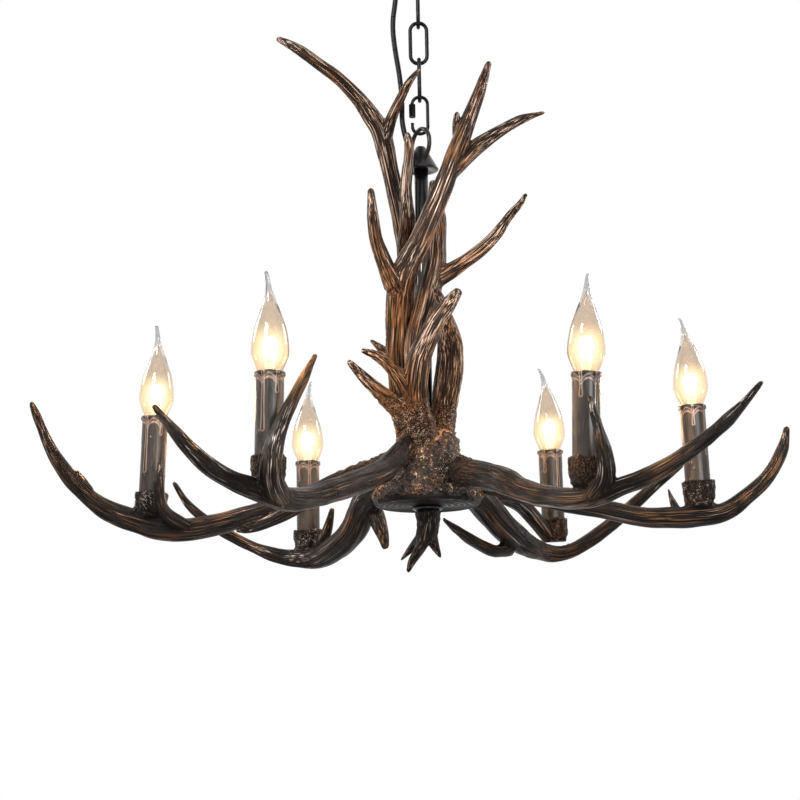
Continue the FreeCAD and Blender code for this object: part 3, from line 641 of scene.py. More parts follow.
def plainSurface(name, colour, rough, size, bump, metallic=0.0, coat=0.0, gloss=0.5):
    tree, principled = newMaterial(name, colour, rough, Metallic=metallic, Coat_Weight=coat,
                                   Coat_Roughness=coatRough, Specular_IOR_Level=gloss)
    skin = useGroup(tree, "castSkin", {"Size": size, "Rough": rough})
    tree.links.new(skin["Rough"], principled.inputs["Roughness"])
    worn = tuple(min(1, part * 2.2 + 0.015) for part in colour)
    tree.links.new(mixColours(tree, times(tree, skin["Speck"], 0.5), colour, worn),
                   principled.inputs["Base Color"])
    addBump(tree, principled, skin["Height"], plainBump, bump)


glassIndex = 1.46


# glass lets the light of the lamps through, so that it casts no shadow
def clearGlass(name, colour, rough, **sockets):
    tree, principled = newMaterial(name, colour, rough, Transmission_Weight=1.0, IOR=glassIndex,
                                   **sockets)
    shadow = tree.nodes.new("ShaderNodeLightPath").outputs["Is Shadow Ray"]
    through = tree.nodes.new("ShaderNodeBsdfTransparent").outputs[0]
    mixShaders(tree, shadow, principled.outputs[0], through, surfaceOf(tree))
    return tree, principled


# the lit glass has a painted glow and a painted warm tint round its filament, painted glints, and
# painted shade with a warm reflection along its outline; it is smoky above the filament and silvery
# in its drawn-out tip
glassLook = {
    "tip": (0.46, 0.46, 0.47), "smoke": (0.76, 0.67, 0.58), "warmGlowTint": (0.90, 0.76, 0.56),
    "glint": (0.97, 0.92, 0.84), "rim": (0.52, 0.42, 0.32), "halo": (0.024, 0.013, 0.004),
    "core": (0.18, 0.165, 0.14), "glintSize": 700.0, "glintEdge": (0.5, 0.75),
    "rimEdge": (0.45, 0.95), "glowEdge": (0.1, 0.8), "coreGlow": (0.3, 1.0),
    "coreEdge": (0.42, 0.0), "haloEdge": (0.85, 0.2),
}


def bulbGlass():
    tree, principled = clearGlass("bulbGlass", (0.9, 0.9, 0.9), 0.01, Emission_Strength=1.0)
    look = glassLook
    glow = meshValue(tree, "glow")
    facing = tree.nodes.new("ShaderNodeLayerWeight")
    facing.inputs["Blend"].default_value = 0.5
    side = facing.outputs["Facing"]
    glowing = stretch(tree, glow, *look["glowEdge"])
    colour = mixColours(tree, meshValue(tree, "tip"), look["smoke"], look["tip"])
    # painted warm light: the glass is tinted warm where the filament glows
    colour = mixColours(tree, glowing, colour, look["warmGlowTint"])
    # painted glints: small bright specks scattered over the glass
    glints = noiseNode(tree, objectPlace(tree), look["glintSize"], 3.0, 0.6)
    colour = mixColours(tree, stretch(tree, glints, *look["glintEdge"]), colour, look["glint"])
    # painted shade with a warm reflection along the glass's outline, where it turns away from the
    # eye
    colour = mixColours(tree, stretch(tree, side, *look["rimEdge"]), colour, look["rim"])
    tree.links.new(colour, principled.inputs["Base Color"])
    # painted glow: the glass itself shines round the filament, brightest where it faces the eye,
    # with a painted warm halo round that
    core = times(tree, stretch(tree, side, *look["coreEdge"]),
                 stretch(tree, glow, *look["coreGlow"]), True)
    halo = times(tree, stretch(tree, side, *look["haloEdge"]), glowing, True)
    warm = mixColours(tree, halo, (0.0, 0.0, 0.0), look["halo"])
    tree.links.new(mixColours(tree, core, warm, look["core"]), principled.inputs["Emission Color"])


def makeMaterials():
    addGroup("dryBrush", brush["inputs"], dryBrush)
    addGroup("castSkin", cast["inputs"], castSkin)
    for name, paint in paints.items():
        paintedResin(name, paint)
    for name, look in plain.items():
        plainSurface(name, **look)
    bulbGlass()
    clearGlass("stemGlass", (0.93, 0.95, 0.94), 0.05)
    newMaterial("filament", (1.0, 0.75, 0.4), 0.5, Emission_Color=(1.0, 0.78, 0.42, 1),
                Emission_Strength=30.0)


# ---- antlers: rows of an arm are (reach, height above the candle seat, sideways, diameter)
seatHeight = extent("candle_sleeve_2")[0]
discBottom = extent("base_disc")[0]
hubReach, candleReach, rootDepth, thickRoot = 35, 270, 18, 20
arms = [
    {"turn": 0, "rise": 5, "lean": 1.8, "out": -4, "flameTurn": 130, "rootBurr": 1,
     "beam": [(28, 31, 0, 24), (60, 19, 0, 23), (100, 7, 0, 22), (171, -8, 0, 20),
              (215, -17, 0, 20), (254, -18, 0, 22), (293, -15, 0, 20), (318, -1, 0, 17),
              (343, 22, 0, 14), (358, 48, 0, 12), (364, 71, 0, 6)],
     "tines": [[(252, -12, 10, 10), (248, 0, 15, 7), (244, 14, 17, 3)]]},
    {"turn": 59, "rise": 0, "lean": 2, "out": 0, "flameTurn": 190, "rootBurr": 1,
     "beam": [(40, 36, 0, 32), (68, 34, 0, 33), (103, 23, 0, 31), (147, 1, 0, 31),
              (193, -14, 0, 28), (246, -21, 0, 20), (276, -20, -12, 18), (300, -5, -32, 17),
              (316, 18, -59, 16), (320, 46, -95, 13), (317, 70, -138, 4)],
     "tines": [[(178, -24, 4, 15), (150, -28, 8, 14), (121, -22, 13, 12), (90, -12, 17, 10),
                (64, -2, 20, 4)],
               [(96, 35, 2, 19), (150, 37, 10, 20), (215, 27, 8, 18), (262, -4, 0, 16)],
               [(140, 30, 14, 10), (180, 27, 24, 9), (227, 8, 28, 3)]]},
    {"turn": 118.5, "rise": -7, "lean": 0, "out": 0, "flameTurn": 60, "rootBurr": 1,
     "beam": [(40, 45, 0, 34), (90, 46, 0, 36), (132, 29, 0, 31), (168, 6, -4, 29),
              (214, -9, -4, 28), (256, -15, 1, 24), (292, -10, 24, 17), (317, 4, 50, 13),
              (334, 23, 79, 12), (347, 48, 108, 10), (350, 75, 127, 4)],
     "tines": [[(126, 18, -8, 19), (117, -2, -10, 15), (109, -20, -10, 8)],
               [(250, -4, -4, 15), (241, 16, -9, 11), (232, 38, -11, 5)]]},
    {"turn": 180, "rise": 3, "lean": 2.8, "out": 0, "flameTurn": 250, "rootBurr": 1,
     "beam": [(27, 42, 0, 30), (60, 31, 0, 29), (87, 22, 0, 27), (115, 12, 0, 23), (141, 4, 0, 20),
              (202, -14, 0, 21), (245, -20, 0, 24), (289, -11, 0, 23), (333, 11, 0, 18),
              (370, 56, 0, 14), (395, 112, 0, 6)],
     "tines": [[(238, -18, 6, 14), (257, -7, 19, 14), (263, 7, 24, 12), (264, 25, 26, 11),
                (262, 49, 26, 3)],
               [(336, 20, 0, 11), (348, 41, 2, 3)],
               [(118, 6, 3, 15), (156, -14, 8, 13), (176, -21, 8, 10), (190, -23, 6, 4)]]},
    {"turn": 238.4, "rise": 0, "lean": 2, "out": 0, "flameTurn": 240, "rootBurr": 0.1,
     "beam": [(34, 66, 2, 8), (44, 56, 1, 18), (60, 42, 0, 22), (84, 27, 0, 23), (131, 10, 0, 24),
              (195, -9, 0, 22), (236, -18, 2, 22), (270, -18, 2, 21), (298, -12, -6, 19),
              (327, -2, -16, 17), (346, 18, -32, 14), (358, 58, -63, 6)],
     "tines": [[(262, -18, 4, 22), (292, -6, 16, 21), (293, 18, 19, 18), (283, 46, 23, 14),
                (268, 76, 30, 11), (252, 109, 38, 5)]]},
    {"turn": 301.5, "rise": -5, "lean": -3, "out": 0, "flameTurn": 75, "rootBurr": 1,
     "beam": [(44, 38, 0, 30), (79, 29, 0, 29), (134, 15, 0, 26), (175, -2, 0, 21),
              (231, -15, 0, 20), (273, -19, 0, 20), (304, -14, 8, 17), (339, -5, 21, 15),
              (366, 14, 42, 13), (384, 41, 70, 11), (394, 72, 97, 4)],
     "tines": [[(278, -18, -2, 18), (298, -6, -4, 17), (302, 10, -6, 15), (297, 38, -9, 11),
                (289, 70, -12, 4)]]},
]
# rows of an upper antler are (x, y, height above the underside of the disc, diameter)
crown = [
    {"beam": [(-14, -4, 48, 20), (-20, -5, 72, 22), (-25, -11, 108, 21), (-28, -20, 145, 23),
              (-27, -27, 174, 24), (-25, -32, 201, 26), (-22, -38, 221, 28), (-14, -41, 241, 25),
              (-3, -42, 261, 22), (9, -42, 288, 21), (20, -42, 313, 20), (31, -42, 341, 20),
              (46, -42, 380, 17), (60, -40, 417, 13), (71, -36, 449, 6)],
     "tines": [[(-29, -42, 215, 22), (-38, -50, 235, 17), (-46, -54, 258, 14), (-49, -57, 281, 12),
                (-51, -57, 312, 6)],
               [(38, -41, 354, 12), (36, -38, 380, 9), (37, -36, 396, 5)],
               [(30, -42, 330, 15), (44, -38, 347, 18), (59, -33, 362, 16), (79, -27, 377, 13),
                (101, -21, 391, 10), (127, -15, 401, 4)]]},
    {"beam": [(-13, 13, 48, 20), (-17, 17, 72, 21), (-18, 14, 113, 20), (-16, 12, 187, 18),
              (-17, 11, 261, 19), (-21, 10, 295, 19), (-31, 6, 344, 18), (-40, 1, 386, 20),
              (-50, -1, 404, 19), (-64, -3, 424, 15), (-83, -5, 444, 14), (-104, -7, 460, 12),
              (-124, -9, 475, 11), (-146, -10, 487, 5)],
     "tines": [[(-36, -1, 382, 15), (-29, -8, 400, 12), (-20, -16, 417, 10), (-11, -26, 431, 8),
                (1, -33, 444, 4)],
               [(-18, 7, 265, 15), (-18, -2, 275, 14), (-15, -12, 289, 16), (-16, -22, 320, 12),
                (-12, -28, 358, 11), (-14, -29, 378, 5)],
               [(-24, 13, 136, 14), (-36, 4, 153, 12), (-45, 0, 162, 9), (-55, -3, 170, 4)]]},
    {"beam": [(12, -7, 48, 22), (15, -8, 72, 24), (18, -9, 96, 25), (22, -11, 121, 28),
              (25, -14, 143, 27), (25, -19, 160, 25), (22, -28, 176, 20), (19, -36, 190, 14),
              (14, -42, 205, 10), (9, -44, 217, 4)],
     "tines": []},
    {"beam": [(-3, -14, 48, 26), (-5, -26, 72, 31), (-10, -39, 90, 28), (-10, -51, 113, 25),
              (-7, -59, 135, 24), (1, -62, 154, 21), (11, -63, 173, 19), (23, -63, 190, 16),
              (35, -62, 206, 8)],
     "tines": [[(-20, -51, 110, 17), (-28, -58, 123, 15), (-39, -62, 134, 12), (-50, -65, 141, 9),
                (-63, -66, 146, 4)],
               [(-13, -32, 73, 18), (-27, -44, 90, 19), (-43, -51, 105, 16), (-61, -55, 121, 12),
                (-76, -57, 138, 5)],
               [(-10, -52, 123, 20), (-10, -47, 146, 21), (-7, -40, 168, 22), (-1, -32, 190, 23),
                (5, -22, 215, 24), (11, -17, 240, 24), (13, -15, 264, 23), (15, -14, 290, 20),
                (13, -14, 316, 15), (12, -13, 332, 8)],
               [(10, -18, 225, 18), (26, -20, 234, 18), (41, -22, 243, 15), (56, -22, 254, 14),
                (72, -20, 270, 13), (87, -18, 290, 10), (98, -17, 303, 7), (106, -16, 315, 4)]]},
]
antlerSkin = {
    "grain": 1.35,            # size of the faces that the skin is melted into
    "smoothing": 5,
    "steps": 12,              # rings between two rows of a branch
    "sides": 18,
    "roundBelow": 8,          # a branch that ends thinner than this has a round tip
    "blend": 1.5,             # how softly the grooves of two branches meet
    "broad": (7, 7, 95),      # spacing across and along the branch of each kind of groove
    "cuts": (4.2, 4.2, 120),
    "fine": (2.6, 2.6, 70),
    "cutWidth": 0.16,
    "grooveDepth": 0.8,
    "fineDepth": 0.4,
    "fullRadius": 10,         # grooves are shallower on thinner branches
    "polishedTip": 70,        # the grooves fade out over this length
    "lumps": 0.7,
    "lumpSize": 17,
    "pearls": 1.5,
    "streakStretch": 0.018,   # paint streaks are this much finer across the branch than along it
}
cup = {
    # (radius, height above the seat)
    "profile": [(13.6, -8), (15.3, 1), (15.81, 12), (16.15, 16), (15.81, 18), (13.7, 17.5),
                (13.7, -1.0), (4, -1.2), (4, -8)],
    "sides": 40,
    "barkOut": (19, 17),      # the bark sets in between these radii and heights
    "barkIn": (14, 15.2),
    "barkUp": (-9, -5),
}
burrAt = {
    "armReach": (106, 72),    # the pearls of the hub run out on the arms between these reaches
    "armHeight": (-8, 6),
    "crownHeight": (122, 80),
    "crownShare": 0.9,
}


def roundTip(rows):
    radius = rows[-1, 3] / 2
    ahead = rows[-1, :3] - rows[-2, :3]
    ahead /= np.linalg.norm(ahead)
    tip = []
    for angle in (0, 35, 60, 80):
        lean = math.radians(angle)
        place = rows[-1, :3] - ahead * radius * (1 - math.sin(lean))
        tip.append([*place, 2 * radius * math.cos(lean)])
    return np.vstack([rows[:-1], tip])


# where each skin point is on the nearest ring of a branch: run along it, place across it, gap
def branchPlaces(points, rows):
    path, radius = rows[:, :3], rows[:, 3] / 2
    along, across, up = pathFrames(path)
    run = runAlong(path)
    squares = (points ** 2).sum(1)[:, None] + (path ** 2).sum(1)[None] - 2 * points @ path.T
    nearest = squares.argmin(1)
    offset = points - path[nearest]
    slide = (offset * along[nearest]).sum(1)
    gap = np.sqrt(np.maximum(squares[np.arange(len(points)), nearest], 0)) - radius[nearest]
    return {"run": run[nearest] + slide, "left": run[-1] - run[nearest] - slide, "gap": gap,
            "first": (offset * across[nearest]).sum(1), "second": (offset * up[nearest]).sum(1),
            "radius": radius[nearest]}


# cuts grooves along the branches, and raises pearls where burr is 1, or bark where bark is 1 too
def carve(piece, branches, seed, burr, bark=0.0):
    skin = antlerSkin
    points, normals = skinOf(piece)
    places = [branchPlaces(points, rows) for rows in branches]
    gaps = np.stack([place["gap"] for place in places])
    shares = np.exp(-(gaps - gaps.min(0)) / skin["blend"])
    shares /= shares.sum(0)
    lift, ridge = np.zeros(len(points)), np.zeros(len(points))
    for number, (place, share) in enumerate(zip(places, shares)):
        section = np.stack([place["first"], place["second"], place["run"]], 1) + seed + number * 31
        broad = softNoise(section / skin["broad"], seed)
        cuts = softNoise(section / skin["cuts"], seed + 3)
        fine = softNoise(section / skin["fine"], seed + 5)
        valley = np.exp(-(cuts / skin["cutWidth"]) ** 2)
        polish = np.clip(place["left"] / skin["polishedTip"], 0.12, 1)
        depth = np.clip(place["radius"] / skin["fullRadius"], 0.2, 1.2) * polish
        groove = skin["grooveDepth"] * (0.7 * broad - valley) + skin["fineDepth"] * fine
        lift += share * depth * groove
        ridge += share * (0.5 + polish * (0.24 * broad + 0.26 * fine - 0.5 * valley)
                          + (1 - polish) * 0.12)
    lift += skin["lumps"] * softNoise(points / skin["lumpSize"], seed + 11)
    knobs = noises(points, (1, 4.2, seed + 13), (0.6, 2.3, seed + 17))
    upright = noises(points, (1.3, (3.0, 3.0, 13), seed + 23), (0.6, (1.8, 1.8, 5), seed + 29))
    knobs += (upright - knobs) * bark
    lift = lift * (1 - 0.5 * burr) + burr * skin["pearls"] * knobs
    ridge = ridge * (1 - 0.75 * burr) + 0.75 * burr * (0.5 + 0.42 * knobs)
    setPoints(piece.data, points + normals * lift[:, None])
    best = gaps.argmin(0)
    first, second, run = (np.stack([place[key] for place in places])[best, np.arange(len(points))]
                          for key in ("first", "second", "run"))
    grain = np.stack([first, second, run * skin["streakStretch"] + best * 9], 1)
    rough = burr + 0.3 * softNoise(points / 6, seed + 19) > 0.5
    storePaint(piece, ridge, np.where(rough[:, None], points, grain))


def branchTubes(branches, sides):
    return [tube(rows[:, :3], rows[:, 3] / 2, sides) for rows in branches]


# inside the candle the reach is stretched to where this arm holds it, outside it is carried along
def armPlaces(arm, rows):
    turn = math.radians(arm["turn"])
    reach, height, aside, diameter = np.asarray(rows, float).T
    reach = reach + np.clip((reach - hubReach) / (candleReach - hubReach), 0, 1) * arm["out"]
    return np.stack([reach * math.cos(turn) - aside * math.sin(turn),
                     reach * math.sin(turn) + aside * math.cos(turn),
                     seatHeight + arm["rise"] + height, diameter], 1)


# a thick root goes on into the hub
def rooted(rows):
    if rows[0][3] < thickRoot:
        return rows
    first, second = np.array(rows[0], float), np.array(rows[1], float)
    root = first - (second - first) * rootDepth / (second[0] - first[0])
    root[3] = first[3]
    return [tuple(root)] + rows


# the candle stands on its seat and leans in, so that its top is at candleReach
def candleMatrix(arm):
    lean, turn = math.radians(arm["lean"]), math.radians(arm["turn"])
    reach = candleReach + arm["out"] + candle["length"] * math.sin(lean)
    place = Vector((reach * math.cos(turn), reach * math.sin(turn), seatHeight + arm["rise"]))
    sideways = Vector((-math.sin(turn), math.cos(turn), 0))
    return Matrix.Translation(place) @ Matrix.Rotation(-lean, 4, sideways)


# a shape made upright on the origin, moved onto the candle's seat
def onCandle(shape, arm):
    matrix = np.array(candleMatrix(arm))
    return np.asarray(shape[0], float) @ matrix[:3, :3].T + matrix[:3, 3], shape[1]


def addArm(number, arm):
    rows = [rooted(arm["beam"])] + arm["tines"]
    branches = [curved(armPlaces(arm, row), antlerSkin["steps"]) for row in rows]
    branches = [roundTip(rows) if rows[-1, 3] < antlerSkin["roundBelow"] else rows
                for rows in branches]
    shapes = branchTubes(branches, antlerSkin["sides"])
    shapes.append(onCandle(turned(cup["profile"], cup["sides"]), arm))
    piece = melted(f"armAntler{number}", shapes, antlerSkin["grain"], antlerSkin["smoothing"])
    skin = skinOf(piece)[0]
    inverse = np.linalg.inv(np.array(candleMatrix(arm)))
    local = skin @ inverse[:3, :3].T + inverse[:3, 3]
    away, fromColumn = polar(local)[1], polar(skin)[1]
    onCup = (softStep(away, *cup["barkOut"]) * softStep(away, *cup["barkIn"])
             * softStep(local[:, 2], *cup["barkUp"]))
    onRoot = (arm["rootBurr"] * softStep(fromColumn, *burrAt["armReach"])
              * softStep(skin[:, 2] - discBottom, *burrAt["armHeight"]))
    carve(piece, branches, 20 * number, np.maximum(onCup, onRoot), onCup)
    settled(piece, "armResin", "fixture", f"arm_antler_{number}")


def addCrownAntler(number, antler):
    branches = [roundTip(curved(np.add(rows, (0, 0, discBottom, 0)), antlerSkin["steps"]))
                for rows in [antler["beam"]] + antler["tines"]]
    piece = melted(f"crownAntler{number}", branchTubes(branches, antlerSkin["sides"]),
                   antlerSkin["grain"], antlerSkin["smoothing"])
    height = skinOf(piece)[0][:, 2] - discBottom
    burr = burrAt["crownShare"] * softStep(height, *burrAt["crownHeight"])
    carve(piece, branches, 200 + 20 * number, burr)
    settled(piece, "crownResin", "fixture", f"crown_antler_{number}")


# ---- hub with its pearled skin, disc and finial
hub = {
    "knobs": 1.9,
    "grain": 1.2,
    "sides": 64,
    "neck": 30,
    "skirtDrop": 9,           # the skirt comes down over the disc's edge
    "pearls": ((0.7, 8, 5), (0.9, 4.4, 6), (0.5, 2.5, 7)),
    "stump": [(12, -16, 13, 30), (24, -30, 12, 33), (33, -41, 10, 32), (36, -45, 9, 26),
              (38, -47, 9, 12)],
}


def addHub():
    foot, top, wide = extent("hub_body")
    skirt, drop, neck, tall = extent("base_disc")[2], hub["skirtDrop"], hub["neck"], top - foot
    profile = [(skirt - 3, foot - drop), (skirt + 1.5, foot - drop * 0.5), (skirt, foot + 2),
               (wide + 1, foot + 0.14 * tall), (wide - 3, foot + 0.34 * tall),
               (neck + 6, foot + 0.58 * tall), (neck + 2, foot + 0.82 * tall), (neck, top)]
    stump = curved([(x, y, foot + height, across) for x, y, height, across in hub["stump"]], 4)
    shapes = [turned(curved(profile, 4), hub["sides"], loop=False), *branchTubes([stump], 24)]
    piece = melted("hubBurr", shapes, hub["grain"], 3)
    points, normals = skinOf(piece)
    knobs = noises(points, *hub["pearls"])
    side = softStep(np.abs(normals[:, 2]), 0.97, 0.8)
    setPoints(piece.data, points + normals * (hub["knobs"] * knobs * side - 0.8)[:, None])
    storePaint(piece, 0.5 + 0.36 * knobs, points)
    settled(piece, "burrResin", "fixture", "hub_body")


disc = {
    "bore": 7.2,
    "sides": 144,
    "rings": 7,
    "ringDepth": 0.45,
    "ringsFrom": 5.5,         # the outermost ring is this far in from the edge
    "edgeNotch": 0.9,
}


def addDisc():
    under, over, wide = extent("base_disc")
    bore, start = disc["bore"], wide - disc["ringsFrom"]
    profile = [(bore, over), (wide - 6, over), (wide - 2.2, over - 1.6), (wide - 0.9, over - 4.4),
               (wide - 0.7, under + 4), (wide - 2.4, under + 1.2), (wide - 5, under + 0.45)]
    steps = disc["rings"] * 8
    for step in range(steps + 1):
        profile.append((start + (bore - start) * step / steps,
                        under + 0.45 + disc["ringDepth"] * math.cos(step / 8 * fullTurn)))
    points, faces = turned(profile, disc["sides"])
    around, reach = polar(points)
    x, y, height = np.cos(around), np.sin(around), points[:, 2]
    nearEdge = softStep(reach, wide - 9, wide - 1)
    bark = softNoise(np.stack([x * 16, y * 16, height / 14], 1), 4)
    warp = softNoise(np.stack([x * 1.5, y * 1.5, reach / 30], 1), 8)
    spread(points, nearEdge * disc["edgeNotch"] * (bark - 1) + 0.8 * warp * (1 - nearEdge))
    piece = newPiece("woodDisc", (points, faces), "stainedWood", "fixture", "base_disc")
    rings = 0.5 + 0.4 * np.cos((start - reach) * disc["rings"] / (start - bore) * fullTurn)
    storePaint(piece, rings * (1 - nearEdge) + (0.5 + 0.4 * bark) * nearEdge,
               np.stack([reach, around * 2, height * 0.3], 1))


# rows are (x, y, height above the collar's underside, diameter)
finial = {
    "stem": [(0, 0, -0.2, 27), (0, 0, -7, 24.5), (0, 0, -16, 22), (-3, 0, -30, 21)],
    "tines": [[(-4, -2, -26, 16), (-9, -5, -38, 12), (-17, -9, -52, 8), (-21, -10, -62, 3)],
              [(-5, 3, -26, 14), (-16, 4, -36, 9), (-28, 3, -49, 3)],
              [(2, 1, -22, 14), (6, 1, -34, 10), (12, 0, -47, 3)]],
    "burrHeight": (-34, -22),
    "burrShare": 0.25,
}


def addFinial():
    foot, top, wide = extent("finial_collar")
    bore = disc["bore"]
    profile = [(bore, top), (wide - 0.6, top), (wide, top - 0.6), (wide, foot + 1.9),
               (wide - 0.5, foot + 1.3), (wide - 2.2, foot + 0.4), (wide - 3.2, foot), (bore, foot)]
    newPiece("finialCollar", turned(profile, 72), "glossBlack", "fixture", "finial_collar")
    stem, *tines = [curved(np.add(rows, (0, 0, foot, 0)), 7)
                    for rows in [finial["stem"]] + finial["tines"]]
    branches = [stem] + [roundTip(rows) for rows in tines]
    piece = melted("finialAntler", branchTubes(branches, 20), 1.0, 6)
    height = skinOf(piece)[0][:, 2] - foot
    carve(piece, branches, 400, finial["burrShare"] * softStep(height, *finial["burrHeight"]))
    settled(piece, "armResin", "fixture", "finial")


# ---- candles
candle = {
    "radius": 13.5,
    "length": 94,
    "wall": 1.3,
    "lip": 0.6,               # the rim band stands this far out
    "bandDrop": 4,
    "arches": 6,
    "archHeight": 9,
    "archStand": 0.55,
    "lines": (0, 3.4),        # raised lines along the arches, below one another
    "lineWidth": 0.85,
    "lineStand": 0.9,
    "dripStand": 0.95,
    "drops": 14,
    "dropStand": 0.7,
    "flute": 0.12,
    "sides": 144,
    "rings": 110,
}


# way round the sleeve from each place to the middle of a drip
def asideFrom(middle, around):
    return candle["radius"] * np.abs((around - middle + math.pi) % fullTurn - math.pi)


# how far arches, drips and flutes stand out at (angle, height) of a sleeve, and their edges
def dripRelief(around, height, seed):
    rng = np.random.default_rng(seed)
    down = candle["length"] - height
    count = candle["arches"]
    relief, edge = np.zeros(len(around)), np.zeros(len(around))
    shift = rng.uniform(0, fullTurn)
    for k in range(count):
        middle = shift + (k + rng.uniform(-0.1, 0.1)) * fullTurn / count
        long = rng.uniform(17, 30) if k % 2 else rng.uniform(30, 60)
        half = rng.uniform(1.6, 2.2)
        wide = half * (0.75 + 0.35 * np.clip(down / long, 0, 1) ** 3)
        out = np.hypot(asideFrom(middle, around), np.maximum(0, down - long)) - wide
        relief = np.maximum(relief, candle["dripStand"] * softStep(out, 0.4, -0.9))
        edge = np.maximum(edge, np.exp(-((out + 0.5) / 0.55) ** 2))
    part = ((around - shift) * count / fullTurn + 0.5) % 1 - 0.5
    across = np.clip(1 - 2 * np.abs(part), 0, 1)
    arch = candle["bandDrop"] + candle["archHeight"] * (1 - np.sqrt(1 - across ** 2))
    relief = np.maximum(relief, candle["archStand"] * softStep(down - arch, 0.6, -0.6))
    for line in candle["lines"]:
        mark = np.exp(-((down - arch - line) / candle["lineWidth"]) ** 2) * softStep(down, 34, 16)
        edge = np.maximum(edge, mark)
        relief = np.maximum(relief, candle["lineStand"] * mark)
    for _ in range(candle["drops"]):
        middle, place, size = rng.uniform(0, fullTurn), rng.uniform(22, 84), rng.uniform(0.8, 1.6)
        out = np.hypot(asideFrom(middle, around), (down - place) * 0.75)
        relief = relief + candle["dropStand"] * softStep(out, size, size * 0.25)
        edge = np.maximum(edge, 0.8 * softStep(out, size * 0.8, size * 0.2))
    place = np.stack([np.cos(around) * 3.2, np.sin(around) * 3.2, height / 60 + seed], 1)
    return relief + 0.3 * edge + candle["flute"] * softNoise(place, seed), edge


def addCandle(number, arm):
    radius, length = candle["radius"], candle["length"]
    inner, drop = radius - candle["wall"], candle["bandDrop"]
    heights = np.linspace(0.4, length - 1.6, candle["rings"])
    band = radius + candle["lip"] * softStep(length - heights, drop + 1, drop - 1)
    profile = [*zip(band - 0.9, heights), (radius + 0.2, length - 0.7),
               (radius - 0.45, length - 0.1), (inner + 0.3, length - 0.2), (inner, length - 0.9),
               (inner, 0.4)]
    points, faces = turned(profile, candle["sides"])
    around, reach = polar(points)
    height = points[:, 2].copy()
    relief, edge = dripRelief(around, height, 30 + number)
    outside = (softStep(reach, inner + 0.3, inner + 0.6)
               * softStep(height, length - 0.3, length - 1.5))
    spread(points, outside * relief)
    # the upper edge is wavy
    points[:, 2] -= 0.25 * (height > length - 1.7) * (1 + np.cos(around * 5 + number))
    ridge = 0.30 + 0.12 * relief + 0.62 * edge - 0.25 * (relief > 0.3) * (edge < 0.2)
    grain = points * (1, 1, 0.12)
    piece = newPiece(f"candleSleeve{number}", onCandle((points, faces), arm), "candleResin",
                     "fixture", f"candle_sleeve_{number}")
    storePaint(piece, ridge, grain)


holder = {"radius": 11, "top": 82, "boreRadius": 7.2, "boreDepth": 21, "ribs": 18, "ribDepth": 0.3}


def addLampholder(number, arm):
    top, radius, bore = holder["top"], holder["radius"], holder["boreRadius"]
    seat = top - holder["boreDepth"]
    points, faces = turned(
        [(bore, top), (radius - 0.6, top), (radius, top - 0.7), (radius, top - 9),
         (radius - 0.7, top - 9.6), (radius - 0.7, top - 36), (radius - 1.2, top - 38),
         (5, top - 44), (4.9, 0.5), (3.2, 0.5), (3.2, seat), (bore, seat)], 72)
    around, reach = polar(points)
    ribs = 0.5 + 0.5 * np.cos(around * holder["ribs"])
    spread(points, -holder["ribDepth"] * ribs * softStep(reach, radius - 1.2, radius - 0.6))
    newPiece(f"candleHolder{number}", onCandle((points, faces), arm), "heatPlastic",
             "fixture", f"lampholder_{number}")


# ---- bulbs: rows of the shape are (radius, height above the neck, sway of the tip)
bulb = {
    "neck": 83.2,
    "shape": [(7.5, 0, 0), (8.2, 4, 0), (10.6, 10, 0), (16.2, 23, 0), (17.3, 33, 0), (14.8, 50, 0),
              (9.4, 66, 0.6), (5.2, 78, 1.8), (2.9, 88, 3.6), (2.1, 96, 6.0), (1.7, 102, 8.6)],
    "wall": 0.7,
    "solidBelow": 3.4,        # the tip has no hollow where its radius is smaller
    "tipFrom": (76, 90),
    "baseRadius": 6.5,
    "baseLength": 19,
    "threadPitch": 2.8,
    "threadWave": 0.3375,
    "glowHeight": 30,
    "glowReach": 21,
    "mount": [(3.8, 0.2), (3.2, 6), (2.0, 13), (1.6, 17), (2.1, 19), (1.4, 20.5)],
    "wires": [[(-0.9, 0, 18), (-2.2, 0, 24), (-5.6, 0, 33)],
              [(0.9, 0, 18), (2.2, 0, 24), (5.6, 0, 33)]],
    "middleWire": [(0, 0, 20), (0, 0.3, 30), (0, 0, 38)],
    "coilHalf": 5.6,
    "coilTurns": 26,
    "coilRadius": 0.55,
    "warmWatts": 1.0,
    "warmColour": (1.0, 0.62, 0.28),
    "warmHeight": 36,
    "warmSize": 8,
}


def bulbGlassShape(arm):
    turn = math.radians(arm["flameTurn"])
    outer = curved(bulb["shape"], 6)
    inner = outer[outer[:, 0] > bulb["solidBelow"]][::-1].copy()
    closing = softStep(inner[:, 1], 62, inner[0, 1])
    inner[:, 0] = np.maximum(inner[:, 0] - bulb["wall"] - 2.6 * closing, 0.3)
    # the tip is drawn out and closes in a little bead
    outer[-1, 0] = 0.35
    rings = np.vstack([inner, outer])
    sway = rings[:, 2:] * math.cos(turn), rings[:, 2:] * math.sin(turn)
    return turned(rings[:, :2] + (0, bulb["neck"]), 40, at=sway, loop=False)


# screw base, with its thread as one long rising wave
def bulbBaseShape():
    top, radius, neck = holder["top"], bulb["baseRadius"], bulb["neck"]
    foot = top - bulb["baseLength"]
    profile = [(2.2, foot), (2.6, foot + 0.8), (4.2, foot + 1.2), (radius - 1.2, foot + 2.2)]
    profile += [(radius, height) for height in np.linspace(foot + 3, top - 1.2, 60)]
    profile += [(radius + 0.2, top), (7.6, top + 0.5), (7.6, neck - 0.1), (6.8, neck)]
    points, faces = turned(profile, 48, loop=False)
    height = points[:, 2]
    threaded = softStep(height, foot + 3, foot + 5) * softStep(height, top - 1, top - 3)
    wave = np.cos((height / bulb["threadPitch"]) * fullTurn - polar(points)[0])
    spread(points, threaded * bulb["threadWave"] * wave)
    return points, faces


